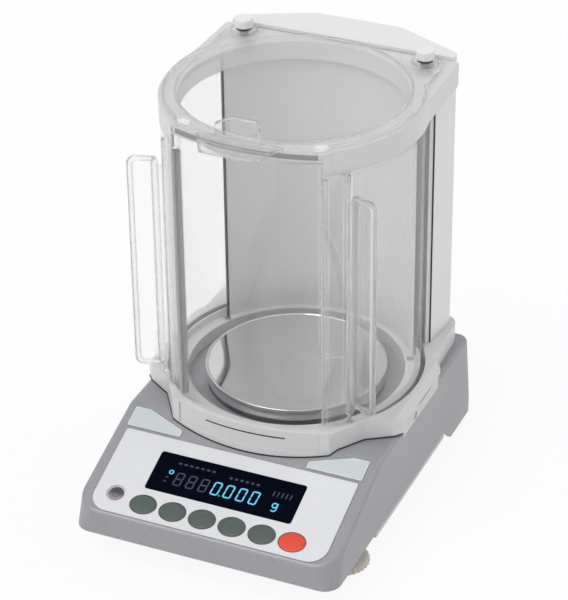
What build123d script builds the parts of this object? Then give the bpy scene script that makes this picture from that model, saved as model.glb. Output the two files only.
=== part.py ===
from build123d import *

import os
from math import asin, cos, degrees, radians, sin, tan

# Precision balance with a round draft shield, built as separate pieces.
# Millimetres, +Z up, front towards -Y. The origin is on the floor, under the
# middle of the overall outline.

# Overall layout
body_width = 193.0
body_depth = 262.5
pan_from_front = 162.25
rear_overhang = 14.75

# Housing
leg_z = 9.0
skirt_z = 21.5
deck_z = 71.5
panel_front_z = 39.0
panel_angle = 20.3
side_draft = 2.5
front_corner_low_r = 12.0
front_corner_high_r = 28.0
rear_corner_r = 8.0
brow_r = 12.0
top_edge_r = 3.0
wall = 3.0
leg_length = 44.0
leg_slant = 14.0
shaft_hole_r = 9.0

# Control panel; distances run down the slope from the overlay's upper edge
overlay_from_front = 67.25
overlay_side = 10.1
overlay_height = 68.5
overlay_low_r = 13.0
overlay_high_r = 2.0
overlay_recess = 0.8
overlay_proud = 0.3
overlay_gap = 0.15
window_width = 107.8
window_height = 31.9
window_r = 2.0
window_down = 27.65
window_thickness = 1.8
window_ledge = 3.0
key_width = 18.7
key_height = 14.8
key_pitch = 21.84
key_first_x = -48.8
key_down = 56.7
key_proud = 1.1
key_depth = 4.5
key_travel = 0.6
key_flange = 1.2
key_flange_gap = 0.3
key_gap = 0.35
key_edge_r = 0.7
level_r = 6.4
level_x = -71.0
level_down = 53.0
level_sink = 1.0
level_wall = 0.9
level_fluid = 3.0
plate_thickness = 0.8
plate_gap = 2.4
plate_low = 4.6
plate_high = 15.6
plate_inner_x = 47.5
plate_knee_x = 76.0
plate_side = 9.5

# Weighing pan and its carrier
pan_top = 84.5
pan_r = 64.0
pan_sheet = 0.9
pan_skirt = 8.6
pan_rim = 0.5
pan_rim_width = 1.6
seat_r = 46.0
seat_gap = 0.3
seat_thickness = 2.4
hub_r = 12.0
hub_height = 6.0
stem_r = 4.0
pan_boss_r = 7.0
pan_boss_height = 2.6
boss_fit = 0.05
cell_travel = 0.5
draft_ring_r = 63.2
draft_ring_wall = 1.6
draft_ring_gap = 1.5

# Levelling feet
front_foot_inset = 18.5
front_foot_from_front = 59.25
rear_foot_inset = 28.5
rear_foot_from_front = 232.0
foot_r = 18.5
foot_disc = 5.0
foot_pad_r = 9.0
foot_pad = 3.5
foot_stud_r = 3.0
foot_stud_length = 19.0
stud_fit = 0.05
foot_knurls = 30
knurl_r = 1.1
foot_boss_r = 7.5
foot_boss_gap = 1.5

# Tray under the housing
tray_plate = 2.5
tray_rim_z = 17.5
tray_inset = 0.3
tray_rim_wall = 4.0
tray_front_from_front = 74.0
tray_rim_gap = 0.5
tray_fit = 0.15
gasket_width = 2.0
gasket_thickness = 1.2
gasket_rise = 0.65

# Draft shield base; heights are from the pan's top. The shoulder, waist and rear
# corner are each an inset from the side and a distance from the pan's axis.
base_floor_drop = 3.5
base_rim_rise = 2.0
base_inner_r = 76.5
base_front_y = 91.8
base_front_wall = 3.6
base_front_bow = 152.0
base_front_x = 58.3
base_cheek = (74.3, 56.1)
base_shoulder = (5.0, 44.9)
base_side_front = 39.0
base_side_back = 32.0
base_front_drop = 24.0
base_skirt_drop = 15.5
base_waist = (7.5, 36.0)
base_rear_corner = (9.5, 91.0)
base_back_x = 34.0
base_side_chamfer = 4.5
base_apron_depth = 44.0
base_corner_radii = [4, 6, 5, 3, 3, 12, 8]
slot_half_width = 29.5
slot_height = 1.2
slot_drop = 4.4
slot_depth = 2.0
face_recess = 0.8
face_recess_x = 52.0
face_lip_z = 70.5

# Doors, their track and the fixed panes
door_outer_r = 89.7
door_glass = 2.0
door_top_gap = 0.4
guide_lap = 4.0
door_play = 0.4
door_front_angle = 36.0
door_rear_angle = 124.5
door_head = 6.0
track_depth = 5.0
track_start = 33.0
rim_gap = 0.7
rail_wall = 1.5
rail_rise = 4.5
rail_start = 62.0
rail_end = 123.0
seal_proud = 2.4
seal_lap = 0.3
seal_start = 34.3
seal_end = 37.2
seal_low = 4.5
seal_high = 192.0
pane_half_width = 49.0
pane_glass = 2.0
pane_fit = 0.1
back_wall_r = 83.0
back_wall_thickness = 2.0
back_wall_start = 120.0

# Door handles; heights are from the pan's top
stile_start = 37.4
post_start = 43.0
stile_end = 47.0
stile_gap = 0.1
stile_thickness = 2.0
post_thickness = 2.8
root_thickness = 3.8
stile_low = 4.0
stile_high = 194.3
grip_low = 20.0
grip_high = 180.6
root_low = 14.0
root_high = 174.0
grip_root = (70.5, 67.0)
grip_tip = (88.0, 73.6)
grip_thickness = 4.0
grip_corner_r = 5.0
web_thickness = 3.0
web_start = (64.5, 65.0)

# Rear housing
rear_front = (79.0, 55.0)
rear_corner = (83.0, 89.0)
rear_back_x = 32.0
rear_back_y = 113.5
rear_wall = 2.5
rear_lip = (76.5, 53.2)
rear_door_room = 3.3
rear_fit = 0.1
rear_corner_radii = [0.5, 2, 6, 8]

# Upper frame and lid; heights are from the pan's top
frame_top_rise = 210.8
frame_plate = 3.0
frame_skirt = 16.0
frame_inner_skirt = 13.5
frame_inner_r = 76.4
frame_inner_wall = 2.0
frame_outer_r = 90.0
frame_outer_wall = 1.8
frame_front_y = 87.0
frame_front_wall = 2.8
frame_front_x = 53.0
frame_step = 39.7
frame_ear_start = 103.5
frame_ear_x = 86.5
frame_ear_r = 3.0
frame_rear_y = 82.0
frame_front_skirt = 4.6
frame_band = 3.6
frame_band_depth = 1.1
cap_gap = 0.2
cap_thickness = 2.7
lid_gap = 0.2
lid_thickness = 2.6
lid_inset = 2.4
lid_rear_y = 80.4
lid_rim_r = 77.6
lid_rim_width = 1.8
lid_rim_height = 0.6
bumper_x = 48.6
bumper_y = 68.4
bumper_r = 4.7
bumper_depth = 1.5
post_x = 66.8
post_y = 67.5
post_r = 3.0
post_fit = 0.05
post_flange_r = 5.0
post_flange = 2.5
hook_gap = 0.8
ear_r = 9.5
ear_rise = 1.4
collar_r = 5.4
collar_play = 0.4
collar_thickness = 1.6
knob_r = 6.4
knob_height = 6.4
knob_bore = 4.0
knob_dome_r = 1.2
knob_gap = 0.3

# Lid handle
handle_x = -2.5
tongue_root = 30.5
tongue_tip = 19.8
tongue_back = 81.3
tongue_reach = 98.8
tongue_bend = 88.2
tongue_drop = 2.9
tongue_thickness = 2.2
grip_wall = 1.8
grip_back_x = 9.5
grip_back_y = 73.0
grip_wing_x = 15.8
grip_wing_y = 84.0
grip_height = 10.3

# Side locks; heights are from the pan's top
lock_front = 37.0
lock_back = 31.6
lock_high = 5.3
lock_low = 15.3
lock_sink = 0.1
lock_thickness = 1.5
lock_tongue_length = 2.1
lock_tongue = (8.0, 12.0)
tongue_half = 5.0
lock_gap = 0.3
lock_travel = 4.0
lock_slot = (-11.0, 12.6)
lock_slot_width = 0.9
lock_slot_drop = 5.9
thumb_y = 17.0
thumb_drop = 11.5
thumb_r = 3.0
thumb_depth = 1.1

# Pieces inside and their fasteners
bracket_width = 74.0
bracket_thickness = 3.0
cell_length = 108.0
cell_width = 62.0
cell_height = 26.0
cell_head = 44.0
cell_foot = 30.0
cell_pad = 4.0
cell_beam = 5.0
cell_window_r = 4.0
cell_screw_x = 20.0
cell_screw_run = 8.0
cell_screw_length = 17.0
cell_socket = 6.0
stem_play = 1.0
board_thickness = 1.6
board_post_r = 3.5
board_post_inset = 6.0
panel_post_inset = 18.5
panel_post_downs = (14.0, 38.0)
main_board_width = 120.0
main_board_depth = 44.0
main_board_from_front = 28.0
main_board_lift = 6.0
display_board_side = 14.5
display_board_down = 35.0
display_board_height = 52.0
display_board_under = 12.0
tube_width = 100.0
tube_height = 26.0
tube_thickness = 5.0
switch_size = 6.0
switch_gap = 0.1
screw_r = 1.5
screw_head_r = 2.9
screw_head = 1.8
screw_length = 8.0
screw_fit = 0.05
screw_sink = 0.2
base_boss_height = 5.0
case_boss_r = 4.0
case_boss_inset = 12.5
case_front_boss = 100.0
case_rear_boss = 205.0
base_screw_r = 80.5
base_screw_angles = (50.0, 118.0, 242.0, 310.0)
base_screw_length = 14.0
port_z = 45.0
port_recess = 2.2
port_middle_x = 28.0
port_recess_width = 70.0
port_recess_height = 20.0
port_recess_r = 1.5
port_flange = 1.0
port_proud = 5.0
port_depth = 9.0
serial_width = 31.0
serial_height = 12.5
serial_shell_width = 18.0
serial_shell_height = 8.4
serial_shell_angle = 80.0
serial_x = 40.0
inlet_r = 5.5
inlet_bore_r = 2.8
inlet_pin_r = 1.0
inlet_x = 8.0

# Degrees in a circle
full_turn = 360.0

# Places that follow from the sizes above
front_y = -(body_depth + rear_overhang) / 2
rear_y = front_y + body_depth
pan_y = front_y + pan_from_front
back_end_y = rear_overhang + rear_y - pan_y
leg_y = rear_y - leg_length
floor_z = pan_top - base_floor_drop
rim_z = pan_top + base_rim_rise
track_z = floor_z - track_depth
frame_top = pan_top + frame_top_rise
frame_low = frame_top - frame_plate
door_low = track_z + door_play
door_high = frame_low - door_head
door_shoulder = frame_top - frame_skirt - door_top_gap
door_inner_r = door_outer_r - door_glass
lid_low = frame_top + lid_gap
lid_top = lid_low + lid_thickness
pan_flat = pan_top - pan_rim
seat_top = pan_flat - pan_sheet - seat_gap
tray_top = skirt_z + tray_plate
gasket_low = skirt_z + gasket_rise
foot_boss_low = foot_pad + foot_disc + foot_boss_gap
slope = tan(radians(panel_angle))
overlay_width = body_width - 2 * overlay_side
plate_outer_x = body_width / 2 - plate_side
panel_post_x = body_width / 2 - panel_post_inset
front_foot_x = body_width / 2 - front_foot_inset
rear_foot_x = body_width / 2 - rear_foot_inset
case_boss_x = body_width / 2 - case_boss_inset
display_board_width = body_width - 2 * display_board_side
lock_outer_x = body_width / 2 - lock_sink
lock_inner_x = lock_outer_x - lock_thickness
lock_tongue_x = lock_inner_x - lock_tongue_length

os.makedirs("parts", exist_ok=True)


def at_pan(height):
    """Level plane whose centre is on the pan's axis."""
    return Plane((0, pan_y, height))


def polar(radius, angle):
    """Point about the pan's axis; the angle starts at the front and turns right."""
    return (radius * sin(radians(angle)), -radius * cos(radians(angle)))


def save(builder, label):
    """Name a finished piece and write its file."""
    builder.part.label = label
    export_step(builder.part, f"parts/{label}.step")


def both_sides(build, name):
    """Make the right-hand piece, then its mirror image for the left."""
    right = build()
    with BuildPart() as right_piece:
        add(right)
    save(right_piece, f"right_{name}")
    with BuildPart() as left_piece:
        mirror(right, about=Plane.YZ)
    save(left_piece, f"left_{name}")


def arc_strip(inner_r, outer_r, start, end):
    """Curved strip between two radii and two angles about the pan's axis."""
    middle = (start + end) / 2
    with BuildSketch() as strip:
        with BuildLine():
            ThreePointArc(polar(outer_r, start), polar(outer_r, middle), polar(outer_r, end))
            Line(polar(outer_r, end), polar(inner_r, end))
            ThreePointArc(polar(inner_r, end), polar(inner_r, middle), polar(inner_r, start))
            Line(polar(inner_r, start), polar(outer_r, start))
        make_face()
    return strip.sketch


def straight_strip(start, end, width):
    """Straight strip of the given width between two points."""
    run = Vector(*end) - Vector(*start)
    middle = (Vector(*start) + Vector(*end)) / 2
    turn = Vector(1, 0, 0).get_signed_angle(run, Vector(0, 0, 1))
    with BuildSketch() as strip:
        with Locations(Location(middle, (0, 0, turn))):
            Rectangle(run.length, width)
    return strip.sketch


def bow_y(x, front, radius):
    """Depth of a bowed front at a distance from the middle."""
    return -(front - radius + (radius**2 - x**2) ** 0.5)


def bow_strip(half_width, front, setback, thickness):
    """Strip that follows the bowed front, set back from it."""
    centre_y = base_front_bow - front
    outer = base_front_bow - setback
    inner = outer - thickness
    with BuildSketch() as strip:
        with Locations((0, centre_y)):
            Circle(outer)
            Circle(inner, mode=Mode.SUBTRACT)
        with Locations((0, -front)):
            Rectangle(2 * half_width, front, mode=Mode.INTERSECT)
    return strip.sketch


def mirrored_area(front, half_width, rest, radii):
    """Symmetric area with a bowed front, from its right-hand outline."""
    middle = half_width / 2
    corner = (half_width, bow_y(half_width, front, base_front_bow))
    bend = (middle, bow_y(middle, front, base_front_bow))
    with BuildSketch() as area:
        with BuildLine():
            ThreePointArc((0, -front), bend, corner)
            FilletPolyline(corner, *rest, radius=radii)
            Line(rest[-1], (0, -front))
        make_face()
        mirror(about=Plane.YZ)
    return area.sketch


def roof_z(y, inset):
    """Height of the sloped panel's surface, drawn in by an inset."""
    return panel_front_z + (y - front_y) * slope - inset / cos(radians(panel_angle))


def body_outline(inset, height):
    """Body outline at a height, drawn in by an inset."""
    rise = max(height - skirt_z, 0)
    drawn = inset + rise * tan(radians(side_draft))
    half = body_width / 2 - drawn
    front = front_y + drawn
    rear = rear_y - drawn
    corner_growth = (front_corner_high_r - front_corner_low_r) / (deck_z - skirt_z)
    front_r = front_corner_low_r + rise * corner_growth - inset
    rear_r = rear_corner_r - inset
    with BuildSketch() as outline:
        with BuildLine():
            FilletPolyline(
                (-half, front), (half, front), (half, rear), (-half, rear),
                radius=[front_r, front_r, rear_r, rear_r],
                close=True,
            )
        make_face()
    return outline.sketch


def housing_form(inset):
    """Tapered block under the deck and the sloped panel, drawn in by an inset."""
    ceiling = deck_z - inset
    brow_y = front_y + (ceiling - roof_z(front_y, inset)) / slope
    with BuildPart() as form:
        with BuildSketch(Plane.XY.offset(leg_z)):
            add(body_outline(inset, leg_z))
        with BuildSketch(Plane.XY.offset(skirt_z)):
            add(body_outline(inset, skirt_z))
        with BuildSketch(Plane.XY.offset(deck_z)):
            add(body_outline(inset, deck_z))
        loft(ruled=True)
        with BuildSketch(Plane.YZ):
            with BuildLine():
                FilletPolyline(
                    (front_y, 0), (front_y, roof_z(front_y, inset)),
                    (brow_y, ceiling), (rear_y, ceiling), (rear_y, 0),
                    radius=[0, 0, brow_r, 0, 0],
                    close=True,
                )
            make_face()
        extrude(amount=body_width, both=True, mode=Mode.INTERSECT)
    return form.part


panel_top_y = front_y + overlay_from_front
panel = Plane(
    origin=(0, panel_top_y, roof_z(panel_top_y, 0)),
    x_dir=(1, 0, 0),
    z_dir=(0, -sin(radians(panel_angle)), cos(radians(panel_angle))),
)
window_place = (0, -window_down)
level_place = (level_x, -level_down)
key_places = [(key_first_x + key_pitch * number, -key_down) for number in range(6)]


def overlay_area(gap):
    """Outline of the panel's printed overlay."""
    half = overlay_width / 2 - gap
    low = gap - overlay_height
    with BuildSketch() as area:
        with BuildLine():
            FilletPolyline(
                (-half, -gap), (half, -gap), (half, low), (-half, low),
                radius=[overlay_high_r, overlay_high_r, overlay_low_r, overlay_low_r],
                close=True,
            )
        make_face()
    return area.sketch


def panel_holes(gap):
    """Places in the panel for the keys and the level."""
    with BuildSketch() as holes:
        with Locations(*key_places):
            Ellipse(key_width / 2 + gap, key_height / 2 + gap)
        with Locations(level_place):
            Circle(level_r + overlay_gap)
    return holes.sketch


def window_area(gap):
    """Outline of the display window."""
    with BuildSketch() as area:
        with Locations(window_place):
            RectangleRounded(window_width + 2 * gap, window_height + 2 * gap, window_r)
    return area.sketch


# Places of the fasteners and posts inside
panel_posts = [(x, -down) for x in (-panel_post_x, panel_post_x) for down in panel_post_downs]
main_board_y = front_y + main_board_from_front + main_board_depth / 2
tray_post_x = main_board_width / 2 - board_post_inset
tray_post_run = main_board_depth / 2 - board_post_inset
tray_posts = [
    (x, main_board_y + run)
    for x in (-tray_post_x, tray_post_x)
    for run in (-tray_post_run, tray_post_run)
]
case_bosses = [
    (x, front_y + distance)
    for x in (-case_boss_x, case_boss_x)
    for distance in (case_front_boss, case_rear_boss)
]
feet = {
    "front_left": (-front_foot_x, front_y + front_foot_from_front),
    "front_right": (front_foot_x, front_y + front_foot_from_front),
    "rear_left": (-rear_foot_x, front_y + rear_foot_from_front),
    "rear_right": (rear_foot_x, front_y + rear_foot_from_front),
}
base_screws = [polar(base_screw_r, angle) for angle in base_screw_angles]
cell_front_y = pan_y - cell_head / 2
cell_middle_y = cell_front_y + cell_length / 2
cell_rear_y = cell_front_y + cell_length
cell_low = tray_top + bracket_thickness + cell_pad
cell_top = cell_low + cell_height
cell_screws = [
    (x, cell_rear_y - cell_foot / 2 + run)
    for x in (-cell_screw_x, cell_screw_x)
    for run in (-cell_screw_run, cell_screw_run)
]
port_floor_y = rear_y - port_recess
rear_face = Plane(origin=(0, port_floor_y, port_z), x_dir=(-1, 0, 0), z_dir=(0, 1, 0))

# Upper housing
with BuildPart() as upper_housing:
    add(housing_form(0))
    with BuildSketch(Plane.YZ):
        with BuildLine():
            Polyline(
                (front_y, 0), (front_y, skirt_z), (leg_y - leg_slant, skirt_z), (leg_y, leg_z), (leg_y, 0),
                close=True,
            )
        make_face()
    extrude(amount=body_width, both=True, mode=Mode.SUBTRACT)
    roof_edges = upper_housing.faces().filter_by(lambda face: face.normal_at().Z > 0.5).edges()
    across = roof_edges.filter_by(Axis.X).sort_by(Axis.Y)
    fillet(roof_edges.filter_by(Axis.X, reverse=True) + [across[0], across[-1]], radius=top_edge_r)
    add(housing_form(wall), mode=Mode.SUBTRACT)
    with BuildSketch(panel):
        add(overlay_area(0))
    extrude(amount=-overlay_recess, mode=Mode.SUBTRACT)
    with BuildSketch(panel):
        add(window_area(overlay_gap))
    extrude(amount=overlay_proud - window_thickness, mode=Mode.SUBTRACT)
    with BuildSketch(panel.offset(-wall)):
        with Locations(*panel_posts):
            Circle(board_post_r)
    extrude(amount=wall - display_board_under)
    with BuildSketch(panel.offset(-display_board_under)):
        with Locations(*panel_posts):
            Circle(screw_r + screw_fit)
    extrude(amount=screw_length, mode=Mode.SUBTRACT)
    with BuildSketch(panel):
        add(window_area(-window_ledge))
        add(panel_holes(key_gap))
    extrude(amount=-2 * wall, mode=Mode.SUBTRACT)
    with BuildSketch(Plane.XY.offset(tray_top)):
        with Locations(*case_bosses):
            Circle(case_boss_r)
    extrude(amount=deck_z - wall - tray_top)
    with BuildSketch(Plane.XY.offset(tray_top)):
        with Locations(*case_bosses):
            Circle(screw_r + screw_fit)
    extrude(amount=screw_length, mode=Mode.SUBTRACT)
    with BuildSketch(at_pan(deck_z - wall)):
        with Locations(*base_screws):
            Circle(case_boss_r)
    extrude(amount=-base_boss_height)
    with BuildSketch(at_pan(deck_z)):
        with Locations(*base_screws):
            Circle(screw_r + screw_fit)
        Circle(shaft_hole_r)
    extrude(amount=-wall - base_boss_height, mode=Mode.SUBTRACT)
    with BuildSketch(rear_face):
        with Locations((-port_middle_x, 0)):
            RectangleRounded(port_recess_width, port_recess_height, port_recess_r)
    extrude(amount=2 * port_recess, mode=Mode.SUBTRACT)
    with BuildSketch(rear_face):
        with Locations((-serial_x, 0)):
            RectangleRounded(serial_width - 2 * port_flange, serial_height - 2 * port_flange, port_recess_r)
        with Locations((-inlet_x, 0)):
            Circle(inlet_r - port_flange)
    extrude(amount=-2 * wall, mode=Mode.SUBTRACT)
save(upper_housing, "upper_housing")

# Tray that closes the housing from below, with its feet
with BuildPart() as base_tray:
    with BuildSketch(Plane.XY.offset(skirt_z)):
        add(body_outline(wall + tray_fit, tray_top))
    extrude(amount=tray_plate)
    with BuildSketch(Plane.XY.offset(tray_rim_z)):
        add(body_outline(tray_inset, skirt_z))
        add(body_outline(tray_inset + tray_rim_wall, skirt_z), mode=Mode.SUBTRACT)
        rim_front_y = front_y + tray_front_from_front
        rim_rear_y = leg_y - leg_slant - tray_rim_gap
        with Locations((0, (rim_front_y + rim_rear_y) / 2)):
            Rectangle(body_width, rim_rear_y - rim_front_y, mode=Mode.INTERSECT)
    extrude(amount=skirt_z - tray_rim_z)
    with BuildSketch(Plane.XY.offset(foot_boss_low)):
        with Locations(*feet.values()):
            Circle(foot_boss_r)
    extrude(amount=skirt_z - foot_boss_low)
    with BuildSketch(Plane.XY.offset(tray_top)):
        with Locations(*tray_posts):
            Circle(board_post_r)
    extrude(amount=main_board_lift)
    with BuildSketch(Plane.XY.offset(tray_top + main_board_lift)):
        with Locations(*tray_posts):
            Circle(screw_r + screw_fit)
    extrude(amount=-screw_length, mode=Mode.SUBTRACT)
    with BuildSketch(Plane.XY.offset(foot_boss_low)):
        with Locations(*feet.values()):
            Circle(foot_stud_r + stud_fit)
        with Locations(*case_bosses, *cell_screws):
            Circle(screw_r + screw_fit)
    extrude(amount=tray_top - foot_boss_low, mode=Mode.SUBTRACT)
    with BuildSketch(Plane.XY.offset(gasket_low)):
        add(body_outline(wall, gasket_low))
        add(body_outline(wall + gasket_width, gasket_low), mode=Mode.SUBTRACT)
    extrude(amount=gasket_thickness, mode=Mode.SUBTRACT)
save(base_tray, "base_tray")

with BuildPart() as housing_gasket:
    with BuildSketch(Plane.XY.offset(gasket_low)):
        add(body_outline(wall, gasket_low + gasket_thickness))
        add(body_outline(wall + gasket_width, gasket_low), mode=Mode.SUBTRACT)
    extrude(amount=gasket_thickness)
save(housing_gasket, "housing_gasket")

for foot_name, foot_place in feet.items():
    with BuildPart() as wheel:
        with BuildSketch(Plane.XY.offset(foot_pad)):
            with Locations(foot_place):
                Circle(foot_r)
                with PolarLocations(foot_r, foot_knurls):
                    Circle(knurl_r, mode=Mode.SUBTRACT)
        extrude(amount=foot_disc)
        with BuildSketch(Plane.XY.offset(foot_pad + foot_disc)):
            with Locations(foot_place):
                Circle(foot_stud_r)
        extrude(amount=foot_stud_length)
    save(wheel, f"{foot_name}_foot_wheel")
    with BuildPart() as pad:
        with BuildSketch(Plane.XY):
            with Locations(foot_place):
                Circle(foot_pad_r)
        extrude(amount=foot_pad)
    save(pad, f"{foot_name}_foot_pad")

# Control panel
with BuildPart() as keypad_overlay:
    with BuildSketch(panel.offset(-overlay_recess)):
        add(overlay_area(overlay_gap))
        add(window_area(overlay_gap), mode=Mode.SUBTRACT)
        add(panel_holes(key_gap), mode=Mode.SUBTRACT)
    extrude(amount=overlay_recess + overlay_proud)
save(keypad_overlay, "keypad_overlay")

with BuildPart() as display_window:
    with BuildSketch(panel.offset(overlay_proud)):
        add(window_area(0))
    extrude(amount=-window_thickness)
save(display_window, "display_window")

key_names = ("power", "calibration", "mode", "sample", "print", "zero")
for key_name, key_place in zip(key_names, key_places):
    with BuildPart() as key:
        with BuildSketch(panel.offset(-key_depth)):
            with Locations(key_place):
                Ellipse(key_width / 2, key_height / 2)
        extrude(amount=key_depth + key_proud)
        fillet(key.faces().sort_by(Axis.Z)[-1].edges(), radius=key_edge_r)
        with BuildSketch(panel.offset(-key_depth)):
            with Locations(key_place):
                Ellipse(key_width / 2 + key_flange, key_height / 2 + key_flange)
        extrude(amount=key_depth - wall - key_flange_gap)
    save(key, f"{key_name}_key")

with BuildPart() as display_board:
    with BuildSketch(panel.offset(-display_board_under)):
        with Locations((0, -display_board_down)):
            Rectangle(display_board_width, display_board_height)
        with Locations(*panel_posts):
            Circle(screw_r + screw_fit, mode=Mode.SUBTRACT)
    extrude(amount=-board_thickness)
save(display_board, "display_board")

with BuildPart() as display_tube:
    with BuildSketch(panel.offset(-display_board_under)):
        with Locations(window_place):
            Rectangle(tube_width, tube_height)
    extrude(amount=tube_thickness)
save(display_tube, "display_tube")

with BuildPart() as key_switches:
    with BuildSketch(panel.offset(-display_board_under)):
        with Locations(*key_places):
            Rectangle(switch_size, switch_size)
    extrude(amount=display_board_under - key_depth - key_travel - switch_gap)
save(key_switches, "key_switches")

with BuildPart() as level_vial:
    with BuildSketch(panel.offset(-display_board_under)):
        with Locations(level_place):
            Circle(level_r)
    extrude(amount=display_board_under + overlay_proud - level_sink)
    with BuildSketch(panel.offset(overlay_proud - level_sink)):
        with Locations(level_place):
            Circle(level_r - level_wall)
    extrude(amount=-level_fluid, mode=Mode.SUBTRACT)
save(level_vial, "level_vial")

with BuildPart() as level_fluid_disc:
    with BuildSketch(panel.offset(overlay_proud - level_sink)):
        with Locations(level_place):
            Circle(level_r - level_wall)
    extrude(amount=-level_fluid)
save(level_fluid_disc, "level_fluid")


def label_plate():
    """Bare plate beside the shield, above the overlay."""
    with BuildPart() as plate:
        with BuildSketch(panel):
            with BuildLine():
                Polyline(
                    (plate_inner_x, plate_gap),
                    (plate_inner_x, plate_gap + plate_low),
                    (plate_knee_x, plate_gap + plate_high),
                    (plate_outer_x, plate_gap + plate_high),
                    (plate_outer_x, plate_gap),
                    close=True,
                )
            make_face()
        extrude(amount=plate_thickness)
    return plate.part


both_sides(label_plate, "plate")

# Electronics, load cell and their fasteners
with BuildPart() as main_board:
    with BuildSketch(Plane.XY.offset(tray_top + main_board_lift)):
        with Locations((0, main_board_y)):
            Rectangle(main_board_width, main_board_depth)
        with Locations(*tray_posts):
            Circle(screw_r + screw_fit, mode=Mode.SUBTRACT)
    extrude(amount=board_thickness)
save(main_board, "main_board")


def screws(plane, places, length):
    """Screws whose heads stand on a plane and whose shanks run back from it."""
    with BuildPart() as group:
        with BuildSketch(plane):
            with Locations(*places):
                Circle(screw_head_r)
        extrude(amount=screw_head)
        with BuildSketch(plane):
            with Locations(*places):
                Circle(screw_r)
        extrude(amount=-length)
    return group.part


def from_below(places):
    """The same places as seen from below, for a plane that faces down."""
    return [(x, -y) for x, y in places]


under_tray = Plane(origin=(0, 0, skirt_z), x_dir=(1, 0, 0), z_dir=(0, 0, -1))
under_panel_board = Plane(
    origin=panel.offset(-display_board_under - board_thickness).origin,
    x_dir=(1, 0, 0),
    z_dir=panel.z_dir * -1,
)
with BuildPart() as board_screws:
    add(screws(Plane.XY.offset(tray_top + main_board_lift + board_thickness), tray_posts, screw_length))
    add(screws(under_panel_board, from_below(panel_posts), screw_length))
save(board_screws, "board_screws")

with BuildPart() as case_screws:
    add(screws(under_tray, from_below(case_bosses), screw_length))
save(case_screws, "case_screws")

with BuildPart() as load_cell_screws:
    add(screws(under_tray, from_below(cell_screws), cell_screw_length))
save(load_cell_screws, "load_cell_screws")

with BuildPart() as load_cell_bracket:
    with BuildSketch(Plane.XY.offset(tray_top)):
        with Locations((0, cell_middle_y)):
            Rectangle(bracket_width, cell_length)
    extrude(amount=bracket_thickness)
    with BuildSketch(Plane.XY.offset(tray_top + bracket_thickness)):
        with Locations((0, cell_rear_y - cell_foot / 2)):
            Rectangle(cell_width, cell_foot)
    extrude(amount=cell_pad)
    with BuildSketch(Plane.XY.offset(tray_top)):
        with Locations(*cell_screws):
            Circle(screw_r + screw_fit)
    extrude(amount=bracket_thickness + cell_pad, mode=Mode.SUBTRACT)
save(load_cell_bracket, "load_cell_bracket")

with BuildPart() as load_cell:
    with BuildSketch(Plane.XY.offset(cell_low)):
        with Locations((0, cell_middle_y)):
            Rectangle(cell_width, cell_length)
    extrude(amount=cell_height)
    with BuildSketch(Plane.YZ):
        window_y = (cell_front_y + cell_head + cell_rear_y - cell_foot) / 2
        with Locations((window_y, cell_low + cell_height / 2)):
            RectangleRounded(
                cell_length - cell_head - cell_foot,
                cell_height - 2 * cell_beam,
                cell_window_r,
            )
    extrude(amount=cell_width, both=True, mode=Mode.SUBTRACT)
    with BuildSketch(at_pan(cell_top)):
        Circle(stem_r + stud_fit)
    extrude(amount=-cell_socket, mode=Mode.SUBTRACT)
    with BuildSketch(Plane.XY.offset(cell_low)):
        with Locations(*cell_screws):
            Circle(screw_r + screw_fit)
    extrude(amount=screw_length, mode=Mode.SUBTRACT)
save(load_cell, "load_cell")

with BuildPart() as serial_connector:
    with BuildSketch(rear_face):
        with Locations((-serial_x, 0)):
            RectangleRounded(serial_width, serial_height, port_recess_r)
    extrude(amount=port_flange)
    with BuildSketch(rear_face):
        with Locations((-serial_x, 0)):
            Trapezoid(serial_shell_width, serial_shell_height, serial_shell_angle)
    extrude(amount=port_proud)
    with BuildSketch(rear_face):
        with Locations((-serial_x, 0)):
            RectangleRounded(
                serial_width - 2 * port_flange - 2 * tray_fit,
                serial_height - 2 * port_flange - 2 * tray_fit,
                port_recess_r,
            )
    extrude(amount=-port_depth)
save(serial_connector, "serial_connector")

with BuildPart() as power_inlet:
    with BuildSketch(rear_face):
        with Locations((-inlet_x, 0)):
            Circle(inlet_r)
    extrude(amount=port_flange)
    with BuildSketch(rear_face):
        with Locations((-inlet_x, 0)):
            Circle(inlet_r - port_flange - tray_fit)
    extrude(amount=-port_depth)
    with BuildSketch(rear_face.offset(port_flange)):
        with Locations((-inlet_x, 0)):
            Circle(inlet_bore_r)
            Circle(inlet_pin_r, mode=Mode.SUBTRACT)
    extrude(amount=-port_depth, mode=Mode.SUBTRACT)
save(power_inlet, "power_inlet")

# Weighing pan and what carries it
upright = Plane(origin=(0, pan_y, 0), x_dir=(1, 0, 0), z_dir=(0, -1, 0))
pan_axis = Axis((0, pan_y, 0), (0, 0, 1))
pan_under = pan_flat - pan_sheet
hub_top = seat_top - seat_thickness
with BuildPart() as weighing_pan:
    with BuildSketch(upright):
        with BuildLine():
            Polyline(
                (0, pan_flat), (pan_r - pan_rim_width, pan_flat), (pan_r - pan_rim_width, pan_top),
                (pan_r, pan_top), (pan_r, pan_top - pan_skirt), (pan_r - pan_sheet, pan_top - pan_skirt),
                (pan_r - pan_sheet, pan_under), (pan_boss_r, pan_under),
                (pan_boss_r, pan_under - pan_boss_height), (0, pan_under - pan_boss_height),
                close=True,
            )
        make_face()
    revolve(axis=pan_axis)
save(weighing_pan, "weighing_pan")

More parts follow.
